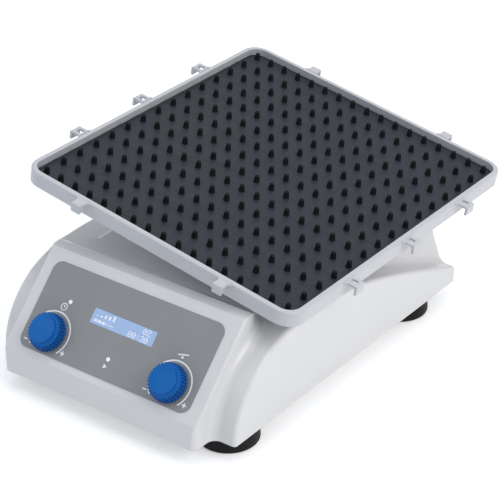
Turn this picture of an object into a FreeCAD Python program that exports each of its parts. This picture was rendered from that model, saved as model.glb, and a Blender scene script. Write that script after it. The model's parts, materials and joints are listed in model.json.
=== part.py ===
import FreeCAD, Part
import math
import os

from FreeCAD import Vector

# Platform rocker: a laboratory see-saw shaker. A tray with a peg mat tilts about a shaft that
# runs from front to back, driven by a gear motor whose crank roller swings a slotted fork.
# Millimetres. X points right, Y back, Z up, and the feet stand on Z = 0.
# "Depth" is a distance back from the console's front edge, and "height" one above the housing's
# lower edge.

# Frame: the depth at which the part's origin lies, the middle of its overall length
ORIGIN_DEPTH = 193.0

# Clearances
RUNNING = 0.05
SCREW_CLEARANCE = 0.15
SEAT_CLEARANCE = 0.3
MOVING_CLEARANCE = 2.0
SCREW_TIP_ROOM = 1.0

# How far a cutting shape runs past the face it opens, and how near an edge must be to be picked
OVERCUT = 1.0
NEAR = 0.1
TOUCHING = 0.001

# Feet
FOOT_HEIGHT = 14.0
FOOT_RADIUS = 25.0
FOOT_TOP_RADIUS = 24.0
FOOT_EDGE = 3.0
FOOT_FROM_SIDE = 25.5
FOOT_FRONT_DEPTH = 48.0
FOOT_BACK_DEPTH = 285.0
FOOT_SCREW_RADIUS = 2.0
FOOT_SCREW_LENGTH = 12.0
FOOT_SCREW_HEAD_RADIUS = 4.0
FOOT_SCREW_HEAD_HEIGHT = 2.6
FOOT_RECESS_DEPTH = 5.0
FOOT_BOSS_RADIUS = 5.0
FOOT_BOSS_HEIGHT = 7.0

# Housing: shoulders along the sides
WALL = 3.0
CHEEK_WIDTH = 20.5
BODY_FRONT = 23.0
BODY_BACK = 333.0
SHOULDER_HEIGHT = 70.0
SHOULDER_REACH = 82.0
SHOULDER_MID_BACK = 119.0
SHOULDER_MID_HEIGHT = 56.5
SHOULDER_LOW_BACK = 58.0
SHOULDER_LOW_HEIGHT = 35.5
SKIRT_HEIGHT = 13.5
SHOULDER_EDGE = 3.0
BACK_EDGE = 2.5
BLEND = 8.0
SHORTEST_SEAM = 8.0
ARCH_STEPS = 6

# Housing: pylon between the shoulders, with the deck on top
DECK_HEIGHT = 82.0
DECK_HALF_WIDTH = 78.5
PYLON_LEAN = 19.9
PYLON_EDGE = 6.0

# Housing: sloped console
CONSOLE_OVERHANG = 17.5
CONSOLE_CORNER = 6.5
CONSOLE_EDGE = 2.0
CONSOLE_SHOULDER_DEPTH = 68.0
CONSOLE_BACK = 96.0
PANEL_FOOT_DEPTH = 1.7
PANEL_FOOT_HEIGHT = 20.2
PANEL_SLOPE = 45.8
PANEL_LENGTH = 89.0
LABEL_CENTRE = 43.0
CREST_DEPTH = 72.5
CREST_RISE = 3.0
CREST_RUN = 6.0

# Base plate and the screws that hold it to the housing
BASE_THICKNESS = 2.5
BASE_SCREW_RADIUS = 1.5
BASE_SCREW_LENGTH = 12.0
BASE_SCREW_HEAD_RADIUS = 3.0
BASE_SCREW_HEAD_HEIGHT = 2.0
BASE_BOSS_RADIUS = 4.5
BASE_SCREW_FROM_SIDE = 13.5
BASE_SCREW_FROM_FOOT = 44.0
BASE_SCREW_CONSOLE_X = 55.0
BASE_SCREW_CONSOLE_DEPTH = 10.0

# Control panel, in the panel's own plane: across, and up the slope from the label's centre
LABEL_LENGTH = 169.3
LABEL_WIDTH = 73.7
LABEL_CORNER = 8.5
LABEL_THICKNESS = 0.5
DISPLAY_LENGTH = 62.0
DISPLAY_WIDTH = 12.6
DISPLAY_UP = 6.4
WINDOW_THICKNESS = 2.4
LAMP_RADIUS = 1.75
LAMP_PROUD = 0.3
RUN_LAMP_UP = -20.8
TIMER_LAMP_ACROSS = -55.0
TIMER_LAMP_UP = 9.0
KNOB_ACROSS = 60.0
KNOB_UP = -19.7

# Control board behind the panel
BOARD_BEHIND = 14.0
BOARD_THICKNESS = 1.6
BOARD_LENGTH = 154.0
BOARD_WIDTH = 62.0
BOARD_CORNER = 3.0
BOARD_SCREW_ACROSS = 72.0
BOARD_SCREW_UP = 26.0
BOARD_SCREW_RADIUS = 1.25
BOARD_SCREW_LENGTH = 7.0
BOARD_SCREW_HEAD_RADIUS = 2.5
BOARD_SCREW_HEAD_HEIGHT = 1.6
BOARD_BOSS_RADIUS = 3.5
MODULE_MARGIN = 5.0
MODULE_GAP = 1.0

# Encoders and knobs
ENCODER_SIDE = 13.0
ENCODER_HEIGHT = 7.5
BUSH_RADIUS = 4.5
ENCODER_SHAFT_RADIUS = 3.0
ENCODER_FLOOR = 0.5
PLUNGER_RADIUS = 2.6
PLUNGER_HEIGHT = 1.0
PUSH_TRAVEL = 0.8
KNOB_RADIUS = 16.0
KNOB_SKIRT_TOP_RADIUS = 14.5
KNOB_TOP_RADIUS = 11.4
KNOB_HEIGHT = 11.4
KNOB_SHOULDER = 1.4
KNOB_DISC = 1.8
KNOB_EDGE = 0.6
KNOB_WALL = 2.2
KNOB_HUB_RADIUS = 5.5
KNOB_GAP = 1.3
KNOB_FLUTES = 34
KNOB_FLUTE_RADIUS = 0.9
KNOB_BORE_DEPTH = 8.0

# Rocker shaft and its bearings
PIVOT_Z = 110.4
PIVOT_DEPTH = 225.0
SHAFT_RADIUS = 4.0
BLOCK_SPREAD = 85.0
BLOCK_THICKNESS = 12.0
BLOCK_HEAD_RADIUS = 9.6
BLOCK_FOOT_HALF_WIDTH = 26.0
BLOCK_FOOT_THICKNESS = 4.0
BEARING_RADIUS = 8.0
BEARING_WIDTH = 5.0
BEARING_RACE = 1.3
BEARING_SHIELD_INSET = 0.4
SHAFT_WAY = 1.0
RING_RADIUS = 6.5
RING_THICKNESS = 1.0
SHAFT_END = 3.0
BLOCK_SCREW_X = 20.0
BLOCK_SCREW_RADIUS = 2.0
BLOCK_SCREW_HEAD_RADIUS = 3.6
BLOCK_SCREW_HEAD_HEIGHT = 2.4
DECK_BOSS_RADIUS = 5.0
DECK_BOSS_DEPTH = 9.0

# Tray, measured in its own plane: across, lengthways, and up from the shaft's axis
TILT = 10.0
TRAY_SHIFT = -2.0
MAT_ABOVE_PIVOT = 15.0
TRAY_HALF_WIDTH = 133.5
TRAY_HALF_LENGTH = 153.5
TRAY_CORNER = 16.0
TRAY_RIM_WIDTH = 4.4
TRAY_RIM_ABOVE_MAT = 5.8
TRAY_WALL_HEIGHT = 12.3
TRAY_FLOOR = 2.5
TRAY_EDGE = 1.2
RIB_THICKNESS = 2.0
RIB_X = 88.0

# Strap hooks on the rim: slotted ones on the long sides, plain ones on the short sides
HOOK_THICKNESS = 2.0
HOOK_DROP = 7.6
HOOK_ROOT_FLARE = 2.2
HOOK_EDGE = 1.4
SIDE_HOOK_WIDTH = 10.6
SIDE_HOOK_REACH = 10.8
SIDE_HOOK_SPACING = 80.0
SIDE_SLOT_REACH = 6.0
SIDE_SLOT_WIDTH = 5.2
SIDE_SLOT_INSET = 1.4
SIDE_SLOT_CORNER = 1.2
END_HOOK_WIDTH = 8.6
END_HOOK_REACH = 9.4
END_HOOK_X = 70.0

# Peg mat
MAT_THICKNESS = 2.0
MAT_CLEARANCE = 0.4
PEG_PITCH_ACROSS = 15.0
PEG_PITCH_ALONG = 20.0
PEG_MARGIN = 6.0
PEG_BASE_RADIUS = 2.65
PEG_TOP_RADIUS = 1.75
PEG_HEIGHT = 6.5
PEG_ROUND = 0.9

# Saddle that clamps the shaft and carries the tray
SADDLE_HALF_WIDTH = 45.0
SADDLE_HALF_LENGTH = 70.0
SADDLE_PLATE = 3.0
SADDLE_CORNER = 4.0
SADDLE_HUB_RADIUS = 8.0
SADDLE_HUB_LENGTH = 26.0
TRAY_SCREW_X = 36.0
TRAY_SCREW_Y = 58.0
TRAY_SCREW_RADIUS = 2.0
TRAY_SCREW_HEAD_RADIUS = 4.0
TRAY_SCREW_LENGTH = 9.0

# Drive fork, hung under the saddle between its two hubs
FORK_THICKNESS = 6.0
FORK_HALF_WIDTH = 12.5
FORK_REACH = 62.0
FORK_FLANGE_HALF_LENGTH = 14.0
FORK_FLANGE_THICKNESS = 3.0
FORK_SLOT_CORNER = 3.4
FORK_SCREW_X = 8.0
FORK_SCREW_Y = 9.0
FORK_SCREW_RADIUS = 1.5
FORK_SCREW_HEAD_RADIUS = 2.8
FORK_SCREW_HEAD_HEIGHT = 2.0

# Crank: its roller reaches the fork at this distance below the shaft
CRANK_DROP = 45.0
ROLLER_RADIUS = 6.0
ROLLER_LENGTH = 5.0
ROLLER_PLAY = 1.6
CRANK_PIN_RADIUS = 2.0
CRANK_DISC_RADIUS = 16.0
CRANK_DISC_THICKNESS = 7.0
CRANK_GAP = 2.0

# Gear motor and its bracket
BRACKET_GAP = 5.0
BRACKET_THICKNESS = 3.0
BRACKET_HALF_WIDTH = 30.0
BRACKET_FOOT_LENGTH = 44.0
BRACKET_ABOVE_AXIS = 23.0
GUSSET_THICKNESS = 3.0
GUSSET_HEIGHT = 34.0
GEARBOX_RADIUS = 18.5
GEARBOX_LENGTH = 26.0
GEARBOX_COLLAR_RADIUS = 6.0
MOTOR_RADIUS = 17.0
MOTOR_LENGTH = 44.0
MOTOR_EDGE = 2.0
MOTOR_SHAFT_RADIUS = 3.0
MOTOR_SHAFT_INSET = 10.0
MOTOR_SCREWS = 4
MOTOR_SCREW_CIRCLE = 14.0
MOTOR_SCREW_RADIUS = 1.5
MOTOR_SCREW_HEAD_RADIUS = 2.7
MOTOR_SCREW_HEAD_HEIGHT = 1.8
MOTOR_SCREW_DEPTH = 6.0
BRACKET_SCREW_X = 21.0
BRACKET_SCREW_INSET = 9.0
BRACKET_SCREW_RADIUS = 2.0
BRACKET_SCREW_HEAD_RADIUS = 3.6
BRACKET_SCREW_HEAD_HEIGHT = 2.4

# Driver board on the base plate behind the fork
DRIVER_HALF_WIDTH = 50.0
DRIVER_LENGTH = 56.0
DRIVER_DEPTH = 254.0
DRIVER_RAISE = 6.0
DRIVER_SCREW_INSET = 5.0
COMPONENT_HEIGHTS = (14.0, 20.0, 11.0)
COMPONENT_RADIUS = 6.0
COMPONENT_PITCH = 15.5
HEATSINK_FINS = 6
HEATSINK_FIN = 1.5
HEATSINK_PITCH = 4.0
HEATSINK_HEIGHT = 18.0
HEATSINK_LENGTH = 26.0

# Power inlet and switch on the pylon's back wall
BACK_FITTING_HEIGHT = 42.0
INLET_X = -40.0
INLET_FLANGE_RADIUS = 8.5
INLET_FLANGE = 2.0
INLET_BODY_RADIUS = 5.8
INLET_BODY_LENGTH = 16.0
INLET_BORE_RADIUS = 3.2
INLET_BORE_DEPTH = 10.0
INLET_PIN_RADIUS = 1.05
INLET_NUT_RADIUS = 8.0
INLET_NUT_THICKNESS = 2.5
SWITCH_X = 40.0
SWITCH_FRAME_WIDTH = 15.0
SWITCH_FRAME_HEIGHT = 21.0
SWITCH_FRAME_FLANGE = 2.0
SWITCH_BODY_WIDTH = 12.8
SWITCH_BODY_HEIGHT = 18.8
SWITCH_BODY_LENGTH = 14.0
SWITCH_WALL = 1.0
ROCKER_PROUD = 2.6
ROCKER_DEPTH = 5.0
ROCKER_SWING = 16.0
ROCKER_FOOT_SHARE = 0.55
ROCKER_SKIRT = 1.0
ROCKER_PIN_RADIUS = 1.0

X_AXIS = Vector(1, 0, 0)
Y_AXIS = Vector(0, 1, 0)
Z_AXIS = Vector(0, 0, 1)
ORIGIN = Vector(0, 0, 0)

# Values worked out from the driving dimensions
console_half_width = DECK_HALF_WIDTH + CONSOLE_OVERHANG
body_half_width = console_half_width + CHEEK_WIDTH
foot_x = body_half_width - FOOT_FROM_SIDE
mat_half_width = TRAY_HALF_WIDTH - TRAY_RIM_WIDTH - MAT_CLEARANCE
mat_half_length = TRAY_HALF_LENGTH - TRAY_RIM_WIDTH - MAT_CLEARANCE
base_z = FOOT_HEIGHT
deck_z = base_z + DECK_HEIGHT
plate_top = base_z + BASE_THICKNESS
crown_depth = BODY_FRONT + SHOULDER_REACH
crank_radius = CRANK_DROP * math.sin(math.radians(TILT))
crank_z = PIVOT_Z - CRANK_DROP * math.cos(math.radians(TILT))
rim_top = MAT_ABOVE_PIVOT + TRAY_RIM_ABOVE_MAT
rim_bottom = rim_top - TRAY_WALL_HEIGHT
mat_bottom = MAT_ABOVE_PIVOT - MAT_THICKNESS
tray_underside = mat_bottom - TRAY_FLOOR


def box(x0, x1, y0, y1, z0, z1):
    return Part.makeBox(x1 - x0, y1 - y0, z1 - z0, Vector(x0, y0, z0))


def rod(radius, length, base, direction=Z_AXIS):
    return Part.makeCylinder(radius, length, base, direction)


def ring(outer, inner, length, base, direction=Z_AXIS):
    return rod(outer, length, base, direction).cut(rod(inner, length, base, direction))


def prism(points, along):
    wire = Part.makePolygon(points + [points[0]])
    return Part.Face(wire).extrude(along)


def joined(shapes):
    return shapes[0].multiFuse(shapes[1:]).removeSplitter()


def rounded_plate(half_x, half_y, corner, z0, z1):
    plate = box(-half_x, half_x, -half_y, half_y, z0, z1)
    upright = [e for e in plate.Edges if e.BoundBox.ZLength > (z1 - z0) / 2]
    return plate.makeFillet(corner, upright)


def screw(shank, length, head, head_height, seat, direction):
    # The head's flat lies on the seat and the shank runs on from there along the direction.
    top = seat - direction * head_height
    return rod(head, head_height, top, direction).fuse(rod(shank, length, seat, direction))


def tilted(shape):
    # Tray pieces are drawn level about the shaft's axis, then turned to the low right position.
    turned = shape.copy()
    turned.translate(Vector(0, PIVOT_DEPTH, PIVOT_Z))
    turned.rotate(Vector(0, PIVOT_DEPTH, PIVOT_Z), Y_AXIS, TILT)
    return turned


def on_panel(shape):
    # Panel pieces are drawn flat: X across, Y up the slope and Z out of the panel's face.
    slope = math.radians(PANEL_SLOPE)
    placed = shape.copy()
    placed.rotate(ORIGIN, X_AXIS, PANEL_SLOPE)
    depth = PANEL_FOOT_DEPTH + LABEL_CENTRE * math.cos(slope)
    height = PANEL_FOOT_HEIGHT + LABEL_CENTRE * math.sin(slope)
    placed.translate(Vector(0, depth, base_z + height))
    return placed


nodes = {}


def shoulders(inset, bottom):
    reach = SHOULDER_REACH - inset
    rise = SHOULDER_HEIGHT - inset
    arch = []
    for step in range(ARCH_STEPS + 1):
        turn = math.pi / 2 * step / ARCH_STEPS
        arch.append(Vector(0, crown_depth - reach * math.cos(turn), base_z + rise * math.sin(turn)))
    fall = [
        arch[-1],
        Vector(0, BODY_BACK - SHOULDER_MID_BACK, base_z + SHOULDER_MID_HEIGHT - inset),
        Vector(0, BODY_BACK - SHOULDER_LOW_BACK, base_z + SHOULDER_LOW_HEIGHT - inset),
        Vector(0, BODY_BACK - inset, base_z + SKIRT_HEIGHT - inset),
    ]
    arch_curve = Part.BSplineCurve()
    arch_curve.interpolate(Points=arch, InitialTangent=Z_AXIS, FinalTangent=Y_AXIS)
    fall_curve = Part.BSplineCurve()
    fall_curve.interpolate(Points=fall)
    back_foot = Vector(0, BODY_BACK - inset, bottom)
    front_foot = Vector(0, BODY_FRONT + inset, bottom)
    edges = [arch_curve.toShape(), fall_curve.toShape(), Part.makeLine(fall[-1], back_foot)]
    edges.append(Part.makeLine(back_foot, front_foot))
    if bottom < base_z:
        edges.append(Part.makeLine(front_foot, arch[0]))
    profile = Part.Face(Part.Wire(edges))
    half = body_half_width - inset
    profile.translate(Vector(-half, 0, 0))
    return profile.extrude(Vector(2 * half, 0, 0))


def pylon(inset, bottom):
    lean = math.tan(math.radians(PYLON_LEAN))
    side = inset / math.cos(math.radians(PYLON_LEAN))
    top = deck_z - inset
    half_top = DECK_HALF_WIDTH - side + inset * lean
    half_bottom = half_top + (top - bottom) * lean
    front = PANEL_FOOT_DEPTH + PANEL_LENGTH * math.cos(math.radians(PANEL_SLOPE))
    points = [
        Vector(-half_bottom, front, bottom),
        Vector(half_bottom, front, bottom),
        Vector(half_top, front, top),
        Vector(-half_top, front, top),
    ]
    return prism(points, Vector(0, BODY_BACK - inset - front, 0))


def console(inset, bottom):
    # Side view of the wedge, cut to its plan, which narrows to the pylon.
    slope = math.radians(PANEL_SLOPE)
    lift = inset / math.cos(slope)
    foot_depth = PANEL_FOOT_DEPTH + inset
    foot_height = PANEL_FOOT_HEIGHT + inset * math.tan(slope) - lift
    head_depth = PANEL_FOOT_DEPTH + PANEL_LENGTH * math.cos(slope)
    head_height = PANEL_FOOT_HEIGHT + PANEL_LENGTH * math.sin(slope)
    crest = DECK_HEIGHT + CREST_RISE
    outline = [
        (inset, bottom - base_z),
        (foot_depth, foot_height),
        (head_depth, head_height - lift),
        (CREST_DEPTH, crest - lift),
        (CREST_DEPTH + CREST_RUN, DECK_HEIGHT - lift),
        (CONSOLE_BACK - inset, DECK_HEIGHT - lift),
        (CONSOLE_BACK - inset, bottom - base_z),
    ]
    half = console_half_width - inset
    wedge = prism([Vector(-half, d, base_z + h) for d, h in outline], Vector(2 * half, 0, 0))
    return wedge.common(console_plan(inset))


def console_plan(inset):
    half = console_half_width - inset
    back_half = DECK_HALF_WIDTH - inset
    corner = CONSOLE_CORNER - inset
    bend = (CONSOLE_BACK + CONSOLE_SHOULDER_DEPTH) / 2.0
    middle = (half + back_half) / 2.0
    edges = []
    for side in (1, -1):
        start = Vector(side * half, CONSOLE_SHOULDER_DEPTH, 0)
        swing = Part.BezierCurve()
        swing.setPoles([
            start,
            Vector(side * half, bend, 0),
            Vector(side * middle, bend, 0),
            Vector(side * back_half, CONSOLE_BACK, 0),
        ])
        tip = Vector(side * half, inset + corner, 0)
        heel = Vector(side * (half - corner), inset, 0)
        reach = corner * math.cos(math.pi / 4)
        bow = Vector(side * (half - corner + reach), inset + corner - reach, 0)
        edges += [swing.toShape(), Part.makeLine(start, tip), Part.Arc(tip, bow, heel).toShape()]
    edges.append(Part.makeLine(Vector(half - corner, inset, 0), Vector(-half + corner, inset, 0)))
    edges.append(Part.makeLine(Vector(back_half, CONSOLE_BACK, 0), Vector(-back_half, CONSOLE_BACK, 0)))
    outline = Part.Wire(Part.__sortEdges__(edges))
    return Part.Face(outline).extrude(Vector(0, 0, deck_z + CREST_RISE + OVERCUT))


def edges_where(shape, test):
    return [e for e in shape.Edges if test(e, e.CenterOfMass)]


def seams(fused, first, second):
    # Edges of the fused body that lie on both of the solids it was made from.
    found = []
    for edge in fused.Edges:
        if edge.BoundBox.YLength < SHORTEST_SEAM:
            continue
        if edge.BoundBox.ZMax < base_z + NEAR:
            continue
        middle = Part.Vertex(edge.valueAt((edge.FirstParameter + edge.LastParameter) / 2))
        if max(middle.distToShape(solid)[0] for solid in (first, second)) < TOUCHING:
            found.append(edge)
    return found


def housing_outside():
    body = shoulders(0.0, base_z)
    flanks = edges_where(body, lambda e, c: abs(abs(c.x) - body_half_width) < NEAR)
    crowns = [e for e in flanks if e.BoundBox.ZMax > base_z + SKIRT_HEIGHT + NEAR]
    body = body.makeFillet(SHOULDER_EDGE, crowns)
    upper = pylon(0.0, base_z)
    ridges = edges_where(upper, lambda e, c: abs(c.z - deck_z) < NEAR and abs(c.x) > NEAR)
    upper = upper.makeFillet(PYLON_EDGE, ridges)
    wedge = console(0.0, base_z)
    head = PANEL_FOOT_DEPTH + PANEL_LENGTH * math.cos(math.radians(PANEL_SLOPE))
    face_foot = base_z + PANEL_FOOT_HEIGHT
    face_edges = edges_where(wedge, lambda e, c: face_foot - NEAR < c.z < deck_z and c.y < head - NEAR)
    fronts = [e for e in face_edges if e.BoundBox.ZLength < NEAR and abs(e.CenterOfMass.x) < NEAR]
    raked = [e for e in face_edges if e.BoundBox.ZLength > PANEL_FOOT_HEIGHT]
    sides = [e for e in raked if abs(e.CenterOfMass.x) > DECK_HALF_WIDTH]
    wedge = wedge.makeFillet(CONSOLE_EDGE, sides + fronts)
    fused = joined([body, upper, wedge])
    blended = fused.makeFillet(BLEND, seams(fused, body, wedge) + seams(fused, body, upper))
    back_edges = edges_where(blended, lambda e, c: e.BoundBox.YMin > BODY_BACK - NEAR)
    rear = [e for e in back_edges if e.CenterOfMass.z > base_z + SHOULDER_HEIGHT / 2]
    return blended.makeFillet(BACK_EDGE, rear)


def housing_inside():
    below = base_z - OVERCUT
    return joined([shoulders(WALL, below), pylon(WALL, below), console(WALL, below)])


def base_screw_places():
    places = []
    for side in (-1, 1):
        x = side * (body_half_width - BASE_SCREW_FROM_SIDE)
        places.append((x, FOOT_FRONT_DEPTH + BASE_SCREW_FROM_FOOT))
        places.append((x, FOOT_BACK_DEPTH - BASE_SCREW_FROM_FOOT))
        places.append((side * BASE_SCREW_CONSOLE_X, BASE_SCREW_CONSOLE_DEPTH))
    return places


def foot_places():
    return {
        "front_left": (-foot_x, FOOT_FRONT_DEPTH),
        "front_right": (foot_x, FOOT_FRONT_DEPTH),
        "back_left": (-foot_x, FOOT_BACK_DEPTH),
        "back_right": (foot_x, FOOT_BACK_DEPTH),
    }


def board_screw_places():
    return [(i * BOARD_SCREW_ACROSS, j * BOARD_SCREW_UP) for i in (-1, 1) for j in (-1, 1)]


def block_screw_places():
    spots = []
    for side in (-1, 1):
        for end in (-1, 1):
            spots.append((side * BLOCK_SCREW_X, PIVOT_DEPTH + end * BLOCK_SPREAD))
    return spots


def fork_slot(grow, z0, z1):
    swing = math.tan(math.radians(TILT)) * (PIVOT_Z - deck_z + WALL)
    half_x = FORK_HALF_WIDTH / math.cos(math.radians(TILT)) + swing + MOVING_CLEARANCE + grow
    half_y = FORK_THICKNESS / 2.0 + MOVING_CLEARANCE + grow
    return box(-half_x, half_x, PIVOT_DEPTH - half_y, PIVOT_DEPTH + half_y, z0, z1)


def make_housing():
    outside = housing_outside()
    inside = housing_inside()
    shell = outside.cut(inside)
    bosses = []
    for x, y in base_screw_places():
        bosses.append(rod(BASE_BOSS_RADIUS, deck_z, Vector(x, y, plate_top)))
    for x, y in block_screw_places():
        bosses.append(rod(DECK_BOSS_RADIUS, DECK_BOSS_DEPTH, Vector(x, y, deck_z - DECK_BOSS_DEPTH)))
    for u, v in board_screw_places():
        bosses.append(on_panel(rod(BOARD_BOSS_RADIUS, BOARD_BEHIND, Vector(u, v, -BOARD_BEHIND))))
    bosses = [boss.common(outside) for boss in bosses]
    collar = fork_slot(WALL, deck_z - WALL, deck_z + WALL)
    shell = joined([shell, collar] + bosses)
    cuts = [fork_slot(0.0, deck_z - 2 * WALL, PIVOT_Z)]
    for x, y in base_screw_places():
        cuts.append(rod(BASE_SCREW_RADIUS + SCREW_CLEARANCE, BASE_SCREW_LENGTH, Vector(x, y, base_z)))
    for x, y in block_screw_places():
        depth = DECK_BOSS_DEPTH - SCREW_TIP_ROOM
        cuts.append(rod(BLOCK_SCREW_RADIUS + SCREW_CLEARANCE, depth, Vector(x, y, deck_z), -Z_AXIS))
    for u, v in board_screw_places():
        hole = rod(BOARD_SCREW_RADIUS + SCREW_CLEARANCE, BOARD_SCREW_LENGTH, Vector(u, v, -BOARD_BEHIND))
        cuts.append(on_panel(hole))
    window = box(
        -DISPLAY_LENGTH / 2, DISPLAY_LENGTH / 2, DISPLAY_UP - DISPLAY_WIDTH / 2,
        DISPLAY_UP + DISPLAY_WIDTH / 2, -WALL - OVERCUT, LABEL_THICKNESS,
    )
    cuts.append(on_panel(window))
    through = WALL + 2 * OVERCUT
    for u, v in lamp_places().values():
        cuts.append(on_panel(rod(LAMP_RADIUS + SCREW_CLEARANCE, through, Vector(u, v, -WALL - OVERCUT))))
    for u in knob_places().values():
        start = Vector(u, KNOB_UP, -WALL - OVERCUT)
        cuts.append(on_panel(rod(BUSH_RADIUS + SEAT_CLEARANCE, through, start)))
    back = Vector(INLET_X, BODY_BACK + OVERCUT, base_z + BACK_FITTING_HEIGHT)
    cuts.append(rod(INLET_BODY_RADIUS + SCREW_CLEARANCE, through, back, -Y_AXIS))
    half_w = SWITCH_BODY_WIDTH / 2 + SCREW_CLEARANCE
    half_h = SWITCH_BODY_HEIGHT / 2 + SCREW_CLEARANCE
    level = base_z + BACK_FITTING_HEIGHT
    cuts.append(box(
        SWITCH_X - half_w, SWITCH_X + half_w, BODY_BACK - WALL - OVERCUT, BODY_BACK + OVERCUT,
        level - half_h, level + half_h,
    ))
    nodes["upper_housing"] = shell.cut(cuts)


def lamp_places():
    return {"run": (0.0, RUN_LAMP_UP), "timer": (TIMER_LAMP_ACROSS, TIMER_LAMP_UP)}


def knob_places():
    return {"timer": -KNOB_ACROSS, "speed": KNOB_ACROSS}


def make_base():
    gap = WALL + SEAT_CLEARANCE
    half = body_half_width - gap
    main = box(-half, half, BODY_FRONT + gap, BODY_BACK - gap, base_z, plate_top)
    half_c = console_half_width - gap
    front = box(-half_c, half_c, gap + PANEL_FOOT_DEPTH, CONSOLE_BACK, base_z, plate_top)
    upright = edges_where(front, lambda e, c: e.BoundBox.ZLength > BASE_THICKNESS / 2)
    corners = [e for e in upright if e.CenterOfMass.y < CONSOLE_CORNER]
    front = front.makeFillet(CONSOLE_CORNER, corners)
    bosses = []
    for x, y in foot_places().values():
        bosses.append(rod(FOOT_BOSS_RADIUS, FOOT_BOSS_HEIGHT, Vector(x, y, plate_top)))
    plate = joined([joined([main, front])] + bosses)
    holes = []
    for x, y in foot_places().values():
        reach = BASE_THICKNESS + FOOT_BOSS_HEIGHT
        holes.append(rod(FOOT_SCREW_RADIUS + SCREW_CLEARANCE, reach, Vector(x, y, base_z)))
    for x, y in base_screw_places():
        holes.append(rod(BASE_SCREW_RADIUS + SCREW_CLEARANCE, BASE_THICKNESS, Vector(x, y, base_z)))
    for x, y in bracket_screw_places() + driver_screw_places():
        holes.append(rod(BRACKET_SCREW_RADIUS + SCREW_CLEARANCE, BASE_THICKNESS, Vector(x, y, base_z)))
    nodes["base_plate"] = plate.cut(holes)
    screws = []
    for x, y in base_screw_places():
        seat = Vector(x, y, base_z)
        screws.append(
            screw(BASE_SCREW_RADIUS, BASE_SCREW_LENGTH - SCREW_TIP_ROOM, BASE_SCREW_HEAD_RADIUS,
                  BASE_SCREW_HEAD_HEIGHT, seat, Z_AXIS)
        )
    nodes["base_plate_screws"] = Part.makeCompound(screws)


def make_feet():
    screws = []
    for name, (x, y) in foot_places().items():
        foot = Part.makeCone(FOOT_RADIUS, FOOT_TOP_RADIUS, FOOT_HEIGHT, Vector(x, y, 0))
        rim = edges_where(foot, lambda e, c: c.z < NEAR and e.Closed)
        foot = foot.makeFillet(FOOT_EDGE, rim)
        recess = rod(FOOT_SCREW_HEAD_RADIUS + SEAT_CLEARANCE, FOOT_RECESS_DEPTH, Vector(x, y, 0))
        bore = rod(FOOT_SCREW_RADIUS + SCREW_CLEARANCE, FOOT_HEIGHT, Vector(x, y, 0))
        nodes["foot_" + name] = foot.cut([recess, bore])
        seat = Vector(x, y, FOOT_RECESS_DEPTH)
        length = FOOT_SCREW_LENGTH + BASE_THICKNESS
        screws.append(
            screw(FOOT_SCREW_RADIUS, length, FOOT_SCREW_HEAD_RADIUS, FOOT_SCREW_HEAD_HEIGHT, seat, Z_AXIS)
        )
    nodes["foot_screws"] = Part.makeCompound(screws)


def make_panel():
    label = rounded_plate(LABEL_LENGTH / 2, LABEL_WIDTH / 2, LABEL_CORNER, 0.0, LABEL_THICKNESS)
    gap = SCREW_CLEARANCE
    half_l = DISPLAY_LENGTH / 2
    half_w = DISPLAY_WIDTH / 2
    cuts = [box(-half_l, half_l, DISPLAY_UP - half_w, DISPLAY_UP + half_w, 0.0, LABEL_THICKNESS)]
    for u, v in lamp_places().values():
        cuts.append(rod(LAMP_RADIUS + gap, LABEL_THICKNESS, Vector(u, v, 0)))
    for u in knob_places().values():
        cuts.append(rod(BUSH_RADIUS + SEAT_CLEARANCE, LABEL_THICKNESS, Vector(u, KNOB_UP, 0)))
    nodes["panel_overlay"] = on_panel(label.cut(cuts))
    window = box(
        -half_l + gap, half_l - gap, DISPLAY_UP - half_w + gap, DISPLAY_UP + half_w - gap,
        LABEL_THICKNESS - WINDOW_THICKNESS, LABEL_THICKNESS,
    )
    nodes["display_window"] = on_panel(window)
    module_top = LABEL_THICKNESS - WINDOW_THICKNESS
    glass = box(
        -half_l + gap, half_l - gap, DISPLAY_UP - half_w + gap, DISPLAY_UP + half_w - gap,
        -WALL - MODULE_GAP, module_top,
    )
    backing = box(
        -half_l - MODULE_MARGIN, half_l + MODULE_MARGIN, DISPLAY_UP - half_w - MODULE_MARGIN,
        DISPLAY_UP + half_w + MODULE_MARGIN, -BOARD_BEHIND, -WALL - MODULE_GAP,
    )
    nodes["display_module"] = on_panel(joined([glass, backing]))
    for name, (u, v) in lamp_places().items():
        length = BOARD_BEHIND + LABEL_THICKNESS + LAMP_PROUD
        lamp = rod(LAMP_RADIUS, length, Vector(u, v, -BOARD_BEHIND))
        tip = edges_where(lamp, lambda e, c: c.z > 0 and e.Closed)
        nodes[name + "_lamp"] = on_panel(lamp.makeFillet(LAMP_PROUD, tip))


def make_control_board():
    z1 = -BOARD_BEHIND
    board = rounded_plate(BOARD_LENGTH / 2, BOARD_WIDTH / 2, BOARD_CORNER, z1 - BOARD_THICKNESS, z1)
    holes = []
    screws = []
    for u, v in board_screw_places():
        back = Vector(u, v, z1 - BOARD_THICKNESS)
        holes.append(rod(BOARD_SCREW_RADIUS + SCREW_CLEARANCE, BOARD_THICKNESS, back))
        fastener = screw(BOARD_SCREW_RADIUS, BOARD_SCREW_LENGTH, BOARD_SCREW_HEAD_RADIUS,
                         BOARD_SCREW_HEAD_HEIGHT, back, Z_AXIS)
        screws.append(on_panel(fastener))
    nodes["control_board"] = on_panel(board.cut(holes))
    nodes["control_board_screws"] = Part.makeCompound(screws)


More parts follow.
